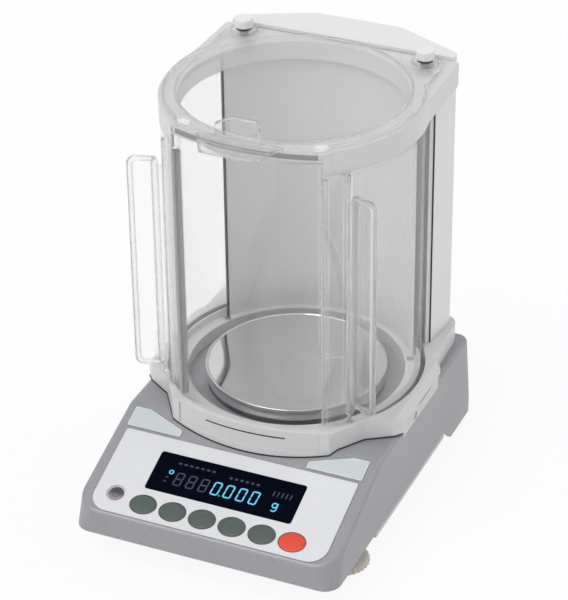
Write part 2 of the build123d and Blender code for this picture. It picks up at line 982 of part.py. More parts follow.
with BuildPart() as pan_support:
    socket_r = pan_boss_r + boss_fit
    socket_z = pan_under - pan_boss_height - seat_gap
    hub_low = hub_top - hub_height
    stem_low = cell_top - cell_socket + cell_travel + stem_play
    with BuildSketch(upright):
        with BuildLine():
            Polyline(
                (0, socket_z), (socket_r, socket_z), (socket_r, seat_top), (seat_r, seat_top),
                (seat_r, hub_top), (hub_r, hub_top), (hub_r, hub_low), (stem_r, hub_low),
                (stem_r, stem_low), (0, stem_low),
                close=True,
            )
        make_face()
    revolve(axis=pan_axis)
save(pan_support, "pan_support")

with BuildPart() as draft_ring:
    with BuildSketch(at_pan(deck_z)):
        Circle(draft_ring_r)
        Circle(draft_ring_r - draft_ring_wall, mode=Mode.SUBTRACT)
    extrude(amount=pan_top - pan_skirt - draft_ring_gap - deck_z)
save(draft_ring, "draft_ring")


# Draft shield base
def base_outline():
    """Outline of the shield's base about the pan's axis."""
    side_x = body_width / 2
    rest = [
        (base_cheek[0], -base_cheek[1]), (side_x - base_shoulder[0], -base_shoulder[1]),
        (side_x, -base_side_front), (side_x, base_side_back),
        (side_x - base_waist[0], base_waist[1]),
        (side_x - base_rear_corner[0], base_rear_corner[1]),
        (base_back_x, back_end_y), (0, back_end_y),
    ]
    return mirrored_area(base_front_y, base_front_x, rest, base_corner_radii)


def rear_outline():
    """Outline of the tall housing behind the doors."""
    with BuildSketch() as outline:
        with BuildLine():
            FilletPolyline(
                (0, rear_lip[1]), rear_lip, rear_front, rear_corner,
                (rear_back_x, rear_back_y), (0, rear_back_y),
                radius=rear_corner_radii,
            )
            Line((0, rear_back_y), (0, rear_lip[1]))
        make_face()
        mirror(about=Plane.YZ)
    return outline.sketch


def side_area(front, back, low, high):
    """Upright rectangle across the side, with distances from the pan's axis and top."""
    with BuildSketch() as area:
        with Locations((pan_y + (front + back) / 2, pan_top + (low + high) / 2)):
            Rectangle(back - front, high - low)
    return area.sketch


def lock_pocket():
    """Room for one side lock in the base, and for its tongue."""
    with BuildPart() as pocket:
        with BuildSketch(Plane.YZ.offset(lock_inner_x - lock_gap)):
            add(side_area(-lock_front, lock_back, -base_front_drop, lock_gap - lock_high))
        extrude(amount=body_width / 2)
        with BuildSketch(Plane.YZ.offset(lock_tongue_x)):
            add(side_area(-lock_front, lock_back, -base_front_drop, deck_z - pan_top))
        extrude(amount=body_width / 2)
        with BuildSketch(Plane.YZ.offset(lock_tongue_x - lock_gap)):
            room_front = -tongue_half - lock_gap
            room_back = tongue_half + lock_travel + lock_gap
            add(side_area(room_front, room_back, -lock_tongue[1] - lock_gap, lock_gap - lock_tongue[0]))
        extrude(amount=lock_inner_x - lock_tongue_x)
    return pocket.part


track_outer_r = door_outer_r + rim_gap
track_inner_r = door_inner_r - door_play
rail_outer_r = door_inner_r - rim_gap
apron_z = pan_top - base_front_drop
base_skirt_z = pan_top - base_skirt_drop
pane_setback = base_front_y - frame_front_y + frame_front_wall + pane_fit
with BuildPart() as shield_base:
    with BuildSketch(at_pan(deck_z)):
        add(base_outline())
    extrude(amount=rim_z - deck_z)
    with BuildSketch(upright):
        side_x = body_width / 2
        with BuildLine():
            Polyline(
                (side_x - base_side_chamfer, rim_z), (side_x + base_side_chamfer, rim_z),
                (side_x + base_side_chamfer, rim_z - 2 * base_side_chamfer),
                close=True,
            )
        make_face()
        mirror(about=Plane.YZ)
    extrude(amount=base_shoulder[1], both=True, mode=Mode.SUBTRACT)
    with BuildSketch(at_pan(apron_z)):
        add(base_outline())
        with Locations((0, -base_front_y)):
            Rectangle(body_width, base_apron_depth, mode=Mode.INTERSECT)
    extrude(amount=deck_z - apron_z)
    with BuildSketch(at_pan(base_skirt_z)):
        add(base_outline())
        with Locations((0, (base_side_back - base_side_front) / 2)):
            Rectangle(body_width, base_side_back + base_side_front, mode=Mode.INTERSECT)
    extrude(amount=deck_z - base_skirt_z)
    add(housing_form(0), mode=Mode.SUBTRACT)
    with BuildSketch(at_pan(apron_z)):
        Circle(base_inner_r)
    extrude(amount=rim_z - apron_z, mode=Mode.SUBTRACT)
    groove_front = pane_setback - pane_fit
    with BuildSketch(at_pan(floor_z)):
        Circle(track_outer_r)
        add(bow_strip(base_front_x, base_front_y, 0, base_front_wall), mode=Mode.SUBTRACT)
        add(bow_strip(pane_half_width + pane_fit, base_front_y, groove_front, pane_glass + 2 * pane_fit))
    extrude(amount=rim_z - floor_z, mode=Mode.SUBTRACT)
    with BuildSketch(at_pan(track_z)):
        add(arc_strip(track_inner_r, track_outer_r, track_start, full_turn - track_start))
    extrude(amount=track_depth, mode=Mode.SUBTRACT)
    with BuildSketch(at_pan(floor_z)):
        add(arc_strip(rail_outer_r - rail_wall, rail_outer_r, rail_start, rail_end))
        mirror(about=Plane.YZ)
    extrude(amount=rail_rise)
    with BuildSketch(at_pan(pan_top)):
        add(rear_outline())
        offset(amount=rear_fit, mode=Mode.REPLACE)
    extrude(amount=base_rim_rise, mode=Mode.SUBTRACT)
    with BuildSketch(at_pan(face_lip_z)):
        add(bow_strip(face_recess_x, base_front_y, 0, face_recess))
    extrude(amount=rim_z - face_lip_z, mode=Mode.SUBTRACT)
    with BuildSketch(at_pan(pan_top - slot_drop)):
        add(bow_strip(slot_half_width, base_front_y, 0, slot_depth))
    extrude(amount=slot_height, mode=Mode.SUBTRACT)
    with BuildSketch(at_pan(floor_z)):
        with Locations(*base_screws):
            Circle(screw_head_r + screw_fit)
    extrude(amount=-screw_head - screw_sink, mode=Mode.SUBTRACT)
    with BuildSketch(at_pan(floor_z)):
        with Locations(*base_screws):
            Circle(screw_r + screw_fit)
    extrude(amount=deck_z - floor_z, mode=Mode.SUBTRACT)
    add(lock_pocket(), mode=Mode.SUBTRACT)
    mirror(lock_pocket(), about=Plane.YZ, mode=Mode.SUBTRACT)
save(shield_base, "shield_base")

with BuildPart() as shield_screws:
    add(screws(at_pan(floor_z - screw_sink - screw_head), base_screws, base_screw_length))
save(shield_screws, "shield_screws")


def lock():
    """Sliding lock on the right side, with its tongue, groove and thumb hollow."""
    front = lock_gap - lock_front
    back = lock_back - lock_travel - lock_gap
    with BuildPart() as piece:
        with BuildSketch(Plane.YZ.offset(lock_inner_x)):
            add(side_area(front, back, -lock_low, -lock_high))
        extrude(amount=lock_outer_x - lock_inner_x)
        with BuildSketch(Plane.YZ.offset(lock_tongue_x)):
            add(side_area(-tongue_half, tongue_half, -lock_tongue[1], -lock_tongue[0]))
        extrude(amount=lock_inner_x - lock_tongue_x)
        with BuildSketch(Plane.YZ.offset(lock_outer_x)):
            add(side_area(*lock_slot, -lock_slot_drop - lock_slot_width, -lock_slot_drop))
            with Locations((pan_y - thumb_y, pan_top - thumb_drop)):
                Circle(thumb_r)
        extrude(amount=-thumb_depth, mode=Mode.SUBTRACT)
    return piece.part


both_sides(lock, "lock")


# Doors with their seals and handles
def glass_area():
    """Curved outline of the right door's glass."""
    return arc_strip(door_inner_r, door_outer_r, door_front_angle, door_rear_angle)


def door_pane():
    """Curved pane of the right door, with the lip that runs inside the frame's skirt."""
    with BuildPart() as glass:
        with BuildSketch(at_pan(door_low)):
            add(glass_area())
        extrude(amount=door_shoulder - door_low)
        with BuildSketch(at_pan(door_shoulder - guide_lap)):
            add(arc_strip(door_inner_r - door_glass, door_inner_r, door_front_angle, door_rear_angle))
        extrude(amount=door_high - door_shoulder + guide_lap)
    return glass.part


def door_seal():
    """Strip over the front edge of the right door's glass."""
    with BuildPart() as seal:
        with BuildSketch(at_pan(pan_top + seal_low)):
            add(arc_strip(door_inner_r - seal_lap, door_outer_r + seal_proud, seal_start, seal_end))
            add(glass_area(), mode=Mode.SUBTRACT)
        extrude(amount=seal_high - seal_low)
    return seal.part


def door_handle():
    """Clear handle on the right door: stile, post, web and upright grip."""
    stile_r = door_outer_r + stile_gap
    root = (grip_root[0], -grip_root[1])
    tip = (grip_tip[0], -grip_tip[1])
    with BuildPart() as handle:
        with BuildSketch(at_pan(pan_top + stile_low)):
            add(arc_strip(stile_r, stile_r + stile_thickness, stile_start, stile_end))
            add(arc_strip(stile_r, stile_r + post_thickness, post_start, stile_end))
        extrude(amount=stile_high - stile_low)
        with BuildSketch(at_pan(pan_top + root_low)):
            add(arc_strip(stile_r, stile_r + root_thickness, post_start, stile_end))
            add(straight_strip((web_start[0], -web_start[1]), root, web_thickness))
        extrude(amount=root_high - root_low)
        with BuildSketch(at_pan(pan_top + grip_low)):
            add(straight_strip(root, tip, grip_thickness))
        extrude(amount=grip_high - grip_low)
        ends = handle.faces().sort_by(Axis.X)[-1].edges().filter_by(Axis.Z, reverse=True)
        fillet(ends, radius=grip_corner_r)
    return handle.part


both_sides(door_pane, "door_glass")
both_sides(door_seal, "door_seal")
both_sides(door_handle, "door_handle")

# Fixed panes and the housing behind the doors
with BuildPart() as front_pane:
    with BuildSketch(at_pan(floor_z)):
        add(bow_strip(pane_half_width, base_front_y, pane_setback, pane_glass))
    extrude(amount=frame_low - floor_z)
save(front_pane, "front_pane")

with BuildPart() as back_wall:
    with BuildSketch(at_pan(floor_z)):
        back_inner_r = back_wall_r - back_wall_thickness
        add(arc_strip(back_inner_r, back_wall_r, back_wall_start, full_turn - back_wall_start))
    extrude(amount=frame_low - floor_z)
save(back_wall, "back_wall")

with BuildPart() as rear_housing:
    with BuildSketch(at_pan(pan_top)):
        add(rear_outline())
        offset(amount=-rear_wall, mode=Mode.SUBTRACT)
        Circle(door_outer_r + rear_door_room, mode=Mode.SUBTRACT)
    extrude(amount=frame_low - pan_top)
save(rear_housing, "rear_housing")

with BuildPart() as rear_cap:
    with BuildSketch(at_pan(frame_low)):
        add(rear_outline())
        with Locations((0, frame_rear_y + cap_gap + rear_back_y / 2)):
            Rectangle(body_width, rear_back_y, mode=Mode.INTERSECT)
    extrude(amount=frame_top + cap_thickness - frame_low)
save(rear_cap, "rear_cap")


# Upper frame, its posts and bumpers
def ring_outline(inset, ear_angle, rear, radii):
    """Outline of the frame or the lid about the pan's axis."""
    outer_r = frame_outer_r - inset
    front = frame_front_y - inset
    half = frame_front_x - inset
    corner = (half, bow_y(half, front, base_front_bow))
    bend = (half / 2, bow_y(half / 2, front, base_front_bow))
    with BuildSketch() as outline:
        with BuildLine():
            ThreePointArc((0, -front), bend, corner)
            Line(corner, polar(outer_r, frame_step))
            ThreePointArc(
                polar(outer_r, frame_step),
                polar(outer_r, (frame_step + ear_angle) / 2),
                polar(outer_r, ear_angle),
            )
            FilletPolyline(polar(outer_r, ear_angle), *rear, radius=radii)
            Line(rear[-1], (0, -front))
        make_face()
        mirror(about=Plane.YZ)
    return outline.sketch


def frame_outline():
    """Outline of the upper frame."""
    rear = [(frame_ear_x, frame_rear_y), (0, frame_rear_y)]
    return ring_outline(0, frame_ear_start, rear, frame_ear_r)


posts = [(-post_x, post_y), (post_x, post_y)]
bumpers = [(-bumper_x, -bumper_y), (bumper_x, -bumper_y)]
skirt_open_width = 2 * (frame_ear_x - frame_outer_wall)
with BuildPart() as upper_frame:
    with BuildSketch(at_pan(frame_low)):
        add(frame_outline())
    extrude(amount=frame_plate)
    with BuildSketch(at_pan(frame_top - frame_skirt)):
        add(frame_outline())
        offset(amount=-frame_outer_wall, mode=Mode.SUBTRACT)
        add(bow_strip(pane_half_width, frame_front_y, 0, frame_front_wall))
        with Locations((0, frame_rear_y)):
            Rectangle(skirt_open_width, 3 * frame_outer_wall, mode=Mode.SUBTRACT)
    extrude(amount=frame_skirt - frame_plate)
    with BuildSketch(at_pan(frame_top - frame_skirt)):
        add(bow_strip(frame_front_x, frame_front_y, 0, frame_front_wall))
    extrude(amount=frame_skirt - frame_front_skirt, mode=Mode.SUBTRACT)
    with BuildSketch(at_pan(frame_top - frame_inner_skirt)):
        Circle(frame_inner_r + frame_inner_wall)
    extrude(amount=frame_inner_skirt - frame_plate)
    with BuildSketch(at_pan(frame_top)):
        Circle(frame_inner_r)
    extrude(amount=-frame_skirt, mode=Mode.SUBTRACT)
    with BuildSketch(at_pan(frame_top)):
        add(bow_strip(frame_front_x, frame_front_y, 0, frame_band_depth))
    extrude(amount=-frame_band, mode=Mode.SUBTRACT)
    with BuildSketch(at_pan(frame_top)):
        with Locations(*bumpers):
            Circle(bumper_r + post_fit)
    extrude(amount=-bumper_depth, mode=Mode.SUBTRACT)
    with BuildSketch(at_pan(frame_top)):
        with Locations(*posts):
            Circle(post_r + post_fit)
    extrude(amount=-frame_plate, mode=Mode.SUBTRACT)
save(upper_frame, "upper_frame")

with BuildPart() as lid_bumpers:
    with BuildSketch(at_pan(frame_top - bumper_depth)):
        with Locations(*bumpers):
            Circle(bumper_r)
    extrude(amount=bumper_depth + lid_gap / 2)
save(lid_bumpers, "lid_bumpers")

washer_low = lid_top + ear_rise + collar_play
knob_low = washer_low + collar_thickness + knob_gap
with BuildPart() as lid_posts:
    with BuildSketch(at_pan(frame_low)):
        with Locations(*posts):
            Circle(post_flange_r)
    extrude(amount=-post_flange)
    with BuildSketch(at_pan(frame_low)):
        with Locations(*posts):
            Circle(post_r)
    extrude(amount=knob_low + knob_bore - knob_gap - frame_low)
save(lid_posts, "lid_posts")

with BuildPart() as post_washers:
    with BuildSketch(at_pan(washer_low)):
        with Locations(*posts):
            Circle(collar_r)
            Circle(post_r, mode=Mode.SUBTRACT)
    extrude(amount=collar_thickness)
save(post_washers, "post_washers")


def knob():
    """Cap over the right post."""
    with BuildPart() as cap:
        with BuildSketch(at_pan(knob_low)):
            with Locations(posts[1]):
                Circle(knob_r)
        extrude(amount=knob_height)
        fillet(cap.faces().sort_by(Axis.Z)[-1].edges(), radius=knob_dome_r)
        with BuildSketch(at_pan(knob_low)):
            with Locations(posts[1]):
                Circle(post_r + post_fit)
        extrude(amount=knob_bore, mode=Mode.SUBTRACT)
    return cap.part


both_sides(knob, "knob")

# Lid and its handle
lid_ear = lid_rear_y - post_y
lid_side_x = post_x + lid_ear
lid_ear_angle = 180 - degrees(asin(lid_side_x / (frame_outer_r - lid_inset)))
with BuildPart() as lid_plate:
    with BuildSketch(at_pan(lid_low)):
        lid_rear = [(lid_side_x, lid_rear_y), (0, lid_rear_y)]
        add(ring_outline(lid_inset, lid_ear_angle, lid_rear, lid_ear))
    extrude(amount=lid_thickness)
    with BuildSketch(at_pan(lid_top)):
        Circle(lid_rim_r + lid_rim_width)
        Circle(lid_rim_r, mode=Mode.SUBTRACT)
    extrude(amount=lid_rim_height)
    with BuildSketch(at_pan(lid_top)):
        with Locations(*posts):
            Circle(ear_r)
    extrude(amount=ear_rise)
    with BuildSketch(at_pan(lid_low)):
        with Locations(posts[0]):
            Circle(post_r + post_fit)
        with Locations(posts[1]):
            Circle(post_r + hook_gap)
        with Locations((post_x, post_y + lid_ear / 2)):
            Rectangle(2 * (post_r + hook_gap), lid_ear)
        with Locations((handle_x, -tongue_back - tongue_root / 2)):
            Rectangle(2 * tongue_root, tongue_root)
    extrude(amount=lid_thickness + ear_rise, mode=Mode.SUBTRACT)
save(lid_plate, "lid_plate")

with BuildPart() as lid_handle:
    with BuildSketch(Plane.YZ):
        with BuildLine():
            Polyline(
                (pan_y - tongue_back, lid_top), (pan_y - tongue_bend, lid_top),
                (pan_y - tongue_reach, lid_top - tongue_drop),
                (pan_y - tongue_reach, lid_top - tongue_drop - tongue_thickness),
                (pan_y - tongue_bend, lid_top - tongue_thickness),
                (pan_y - tongue_back, lid_top - tongue_thickness),
                close=True,
            )
        make_face()
    extrude(amount=2 * tongue_root, both=True)
    with BuildSketch(at_pan(frame_low - frame_skirt)):
        with BuildLine():
            Polyline(
                (handle_x - tongue_root, -tongue_back), (handle_x + tongue_root, -tongue_back),
                (handle_x + tongue_tip, -tongue_reach), (handle_x - tongue_tip, -tongue_reach),
                close=True,
            )
        make_face()
    extrude(amount=2 * frame_skirt, mode=Mode.INTERSECT)
    with BuildSketch(at_pan(lid_top)):
        for side in (-1, 1):
            bend = (handle_x + side * grip_back_x, -grip_back_y)
            add(straight_strip(bend, (handle_x + side * grip_wing_x, -grip_wing_y), grip_wall))
            add(straight_strip((handle_x, -grip_back_y), bend, grip_wall))
            with Locations(bend):
                Circle(grip_wall / 2)
    extrude(amount=grip_height)
    with BuildSketch(at_pan(lid_top)):
        Circle(lid_rim_r + lid_rim_width + pane_fit)
        Circle(lid_rim_r - pane_fit, mode=Mode.SUBTRACT)
    extrude(amount=lid_rim_height + pane_fit, mode=Mode.SUBTRACT)
save(lid_handle, "lid_handle")
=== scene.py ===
import bmesh
import bpy
import numpy as np
from mathutils import Matrix, Vector


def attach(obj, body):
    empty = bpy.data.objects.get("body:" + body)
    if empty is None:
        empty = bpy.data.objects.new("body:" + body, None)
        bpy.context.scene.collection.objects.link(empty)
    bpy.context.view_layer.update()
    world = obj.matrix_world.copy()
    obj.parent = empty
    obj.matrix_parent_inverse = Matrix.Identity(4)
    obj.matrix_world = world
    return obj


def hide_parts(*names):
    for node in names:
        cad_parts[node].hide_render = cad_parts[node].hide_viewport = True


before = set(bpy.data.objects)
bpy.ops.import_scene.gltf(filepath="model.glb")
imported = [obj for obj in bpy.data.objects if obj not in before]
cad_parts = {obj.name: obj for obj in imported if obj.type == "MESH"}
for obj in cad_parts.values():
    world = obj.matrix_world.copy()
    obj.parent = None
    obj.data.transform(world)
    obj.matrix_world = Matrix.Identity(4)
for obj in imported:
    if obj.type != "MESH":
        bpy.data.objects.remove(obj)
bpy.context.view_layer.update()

# Places that the looks share with the solids, in metres. The fronts of the base and
# the frame are distances from the pan's axis, and both are bowed to one radius.
pan_y = 0.023625
pan_top = 0.0845
pan_r = 0.064
pan_sheet = 0.0009
deck_z = 0.0715
frame_top = 0.2953
lid_top = 0.2981
bow_r = 0.152
base_front = 0.0918
frame_front = 0.0870
panel_angle = np.radians(20.3)
panel_origin = np.array([0.0, -0.071375, 0.063877])
overlay_lift = 0.0003
key_names = ("power", "calibration", "mode", "sample", "print", "zero")
key_first_x = -0.0488
key_pitch = 0.02184
key_down = 0.0567
level_place = (-0.071, -0.053)

# Names and a direction that are used more than once
both_sides = (("left", -1), ("right", 1))
corner_names = ("front_left", "front_right", "rear_left", "rear_right")
upward = (0.0, 0.0, 1.0)


# Camera at the photograph's viewing angle
def place_camera():
    """Camera whose axes come from its bearing, height angle and roll, set back along its own line."""
    bearing = np.radians(23.97)
    height = np.radians(31.21)
    roll = np.radians(-0.70)
    aim = np.array([0.0, pan_y, 0.1285])
    aside = 0.0084
    above = 0.0046
    distance = 1.753
    back = np.array([
        np.sin(bearing) * np.cos(height),
        -np.cos(bearing) * np.cos(height),
        np.sin(height),
    ])
    level_right = np.array([np.cos(bearing), np.sin(bearing), 0.0])
    level_up = np.cross(level_right, -back)
    right = level_right * np.cos(roll) + level_up * np.sin(roll)
    up = -level_right * np.sin(roll) + level_up * np.cos(roll)
    eye = aim - aside * right + above * up + distance * back
    data = bpy.data.cameras.new("camera")
    data.sensor_width = 36.0
    data.lens = 151.35
    camera = bpy.data.objects.new("camera", data)
    bpy.context.scene.collection.objects.link(camera)
    turn = np.eye(4)
    turn[:3, 0] = right
    turn[:3, 1] = up
    turn[:3, 2] = back
    turn[:3, 3] = eye
    camera.matrix_world = Matrix(turn.tolist())
    bpy.context.scene.camera = camera


place_camera()


# Materials
def linear(red, green, blue):
    """Linear colour of a screen colour given from 0 to 255, by the usual screen curve."""
    value = np.array([red, green, blue]) / 255.0
    low = value / 12.92
    high = ((value + 0.055) / 1.055) ** 2.4
    return tuple(np.where(value <= 0.04045, low, high)) + (1.0,)


def new_material(name):
    """Empty node material with its main shader."""
    material = bpy.data.materials.new(name)
    material.use_nodes = True
    tree = material.node_tree
    return material, tree, tree.nodes["Principled BSDF"]


def noise_on(tree, scale, detail, stretch=(1.0, 1.0, 1.0)):
    """Noise in the piece's own metres, stretched along an axis if asked."""
    place = tree.nodes.new("ShaderNodeTexCoord")
    mapping = tree.nodes.new("ShaderNodeMapping")
    mapping.inputs["Scale"].default_value = stretch
    noise = tree.nodes.new("ShaderNodeTexNoise")
    noise.inputs["Scale"].default_value = scale
    noise.inputs["Detail"].default_value = detail
    tree.links.new(place.outputs["Object"], mapping.inputs["Vector"])
    tree.links.new(mapping.outputs["Vector"], noise.inputs["Vector"])
    return noise


def colour_between(tree, factor, first, second):
    """Colour that runs from one value to another with a factor."""
    mix = tree.nodes.new("ShaderNodeMix")
    mix.data_type = "RGBA"
    mix.inputs["A"].default_value = first
    mix.inputs["B"].default_value = second
    tree.links.new(factor, mix.inputs["Factor"])
    return mix.outputs["Result"]


def range_of(tree, factor, low, high, start=0.3, end=0.7):
    """Number that runs from low to high as the factor goes from start to end."""
    spread = tree.nodes.new("ShaderNodeMapRange")
    spread.inputs["From Min"].default_value = start
    spread.inputs["From Max"].default_value = end
    spread.inputs["To Min"].default_value = low
    spread.inputs["To Max"].default_value = high
    tree.links.new(factor, spread.inputs["Value"])
    return spread.outputs["Result"]


def grain_bump(tree, shader, noise, strength, depth, edge=0.0):
    """Fine relief from a noise, over edges softened by a small radius."""
    bump = tree.nodes.new("ShaderNodeBump")
    bump.inputs["Strength"].default_value = strength
    bump.inputs["Distance"].default_value = depth
    tree.links.new(noise.outputs["Fac"], bump.inputs["Height"])
    if edge:
        bevel = tree.nodes.new("ShaderNodeBevel")
        bevel.samples = 4
        bevel.inputs["Radius"].default_value = edge
        tree.links.new(bevel.outputs["Normal"], bump.inputs["Normal"])
    tree.links.new(bump.outputs["Normal"], shader.inputs["Normal"])


def tone(colour, share):
    """The same colour, lighter or darker by a share."""
    return tuple(min(part * (1 + share), 1.0) for part in colour[:3]) + (1.0,)


def moulded(name, colour, rough, spread=0.04, grain=900.0, relief=0.00004, edge=0.0004, coat=0.0):
    """Moulded plastic: faint cloudy colour, uneven gloss and a fine spark-eroded grain."""
    material, tree, shader = new_material(name)
    cloud = noise_on(tree, 35.0, 4.0)
    fine = noise_on(tree, grain, 3.0)
    base = colour_between(tree, cloud.outputs["Fac"], tone(colour, -spread), tone(colour, spread))
    tree.links.new(base, shader.inputs["Base Color"])
    gloss = range_of(tree, cloud.outputs["Fac"], rough - 0.05, rough + 0.06)
    tree.links.new(gloss, shader.inputs["Roughness"])
    shader.inputs["Coat Weight"].default_value = coat
    shader.inputs["Coat Roughness"].default_value = 0.12
    grain_bump(tree, shader, fine, 0.25, relief, edge)
    return material


def metal(name, colour, rough, stretch, scale, relief=0.00002):
    """Metal with fine drawn lines that vary its gloss."""
    material, tree, shader = new_material(name)
    lines = noise_on(tree, scale, 5.0, stretch)
    base = colour_between(tree, lines.outputs["Fac"], tone(colour, -0.05), tone(colour, 0.04))
    tree.links.new(base, shader.inputs["Base Color"])
    tree.links.new(range_of(tree, lines.outputs["Fac"], rough * 0.8, rough * 1.3), shader.inputs["Roughness"])
    shader.inputs["Metallic"].default_value = 1.0
    grain_bump(tree, shader, lines, 0.12, relief)
    return material


def clear(name, face, rim, face_cover, rim_cover):
    """Clear plastic: open face on and denser where it is seen edge on, and greyer there as painted shade for
    the dark lines along its edges.
    """
    material, tree, shader = new_material(name)
    facing = tree.nodes.new("ShaderNodeLayerWeight")
    facing.inputs["Blend"].default_value = 0.2
    flow = noise_on(tree, 14.0, 2.0)
    base = colour_between(tree, facing.outputs["Facing"], face, rim)
    tree.links.new(base, shader.inputs["Base Color"])
    cover = range_of(tree, facing.outputs["Facing"], face_cover, rim_cover, 0.0, 1.0)
    tree.links.new(cover, shader.inputs["Alpha"])
    tree.links.new(range_of(tree, flow.outputs["Fac"], 0.02, 0.06), shader.inputs["Roughness"])
    shader.inputs["IOR"].default_value = 1.49
    shader.inputs["Transmission Weight"].default_value = 1.0
    grain_bump(tree, shader, flow, 0.02, 0.00005)
    return material


def glowing(name, colour):
    """Display phosphor that glows, with a faint mesh in its glow: real glow on the lit reading, painted glow
    on the unlit marks.
    """
    material, tree, shader = new_material(name)
    mesh = noise_on(tree, 2500.0, 1.0)
    glow = colour_between(tree, mesh.outputs["Fac"], tone(colour, -0.12), tone(colour, 0.1))
    shader.inputs["Base Color"].default_value = (0.01, 0.02, 0.03, 1.0)
    shader.inputs["Roughness"].default_value = 0.4
    tree.links.new(glow, shader.inputs["Emission Color"])
    shader.inputs["Emission Strength"].default_value = 1.0
    return material


def spirit():
    """Level's fluid: pale pink on the lower side, and violet grey on the upper side as painted shade."""
    material, tree, shader = new_material("level_spirit_painted_shade")
    place = tree.nodes.new("ShaderNodeTexCoord")
    parts = tree.nodes.new("ShaderNodeSeparateXYZ")
    tree.links.new(place.outputs["Object"], parts.inputs["Vector"])
    # Painted shade: the upper side of the fluid is darker.
    upper_shade = range_of(tree, parts.outputs["Y"], 0.0, 1.0, -0.1235, -0.1195)
    base = colour_between(tree, upper_shade, linear(158, 138, 142), linear(62, 60, 76))
    cloud = noise_on(tree, 300.0, 2.0)
    tree.links.new(base, shader.inputs["Base Color"])
    tree.links.new(range_of(tree, cloud.outputs["Fac"], 0.05, 0.12), shader.inputs["Roughness"])
    shader.inputs["Coat Weight"].default_value = 0.6
    return material


def flecked_paint():
    """Silver paint: fine bright flecks in a satin coat over a slightly violet grey."""
    material, tree, shader = new_material("silver_paint")
    flecks = noise_on(tree, 2600.0, 2.0)
    cloud = noise_on(tree, 12.0, 3.0)
    share = range_of(tree, flecks.outputs["Fac"], 0.0, 1.0, 0.42, 0.62)
    base = colour_between(tree, share, linear(144, 144, 149), linear(168, 168, 173))
    tree.links.new(base, shader.inputs["Base Color"])
    tree.links.new(range_of(tree, cloud.outputs["Fac"], 0.30, 0.38), shader.inputs["Roughness"])
    shader.inputs["Metallic"].default_value = 0.12
    grain_bump(tree, shader, flecks, 0.18, 0.00003, 0.0006)
    return material


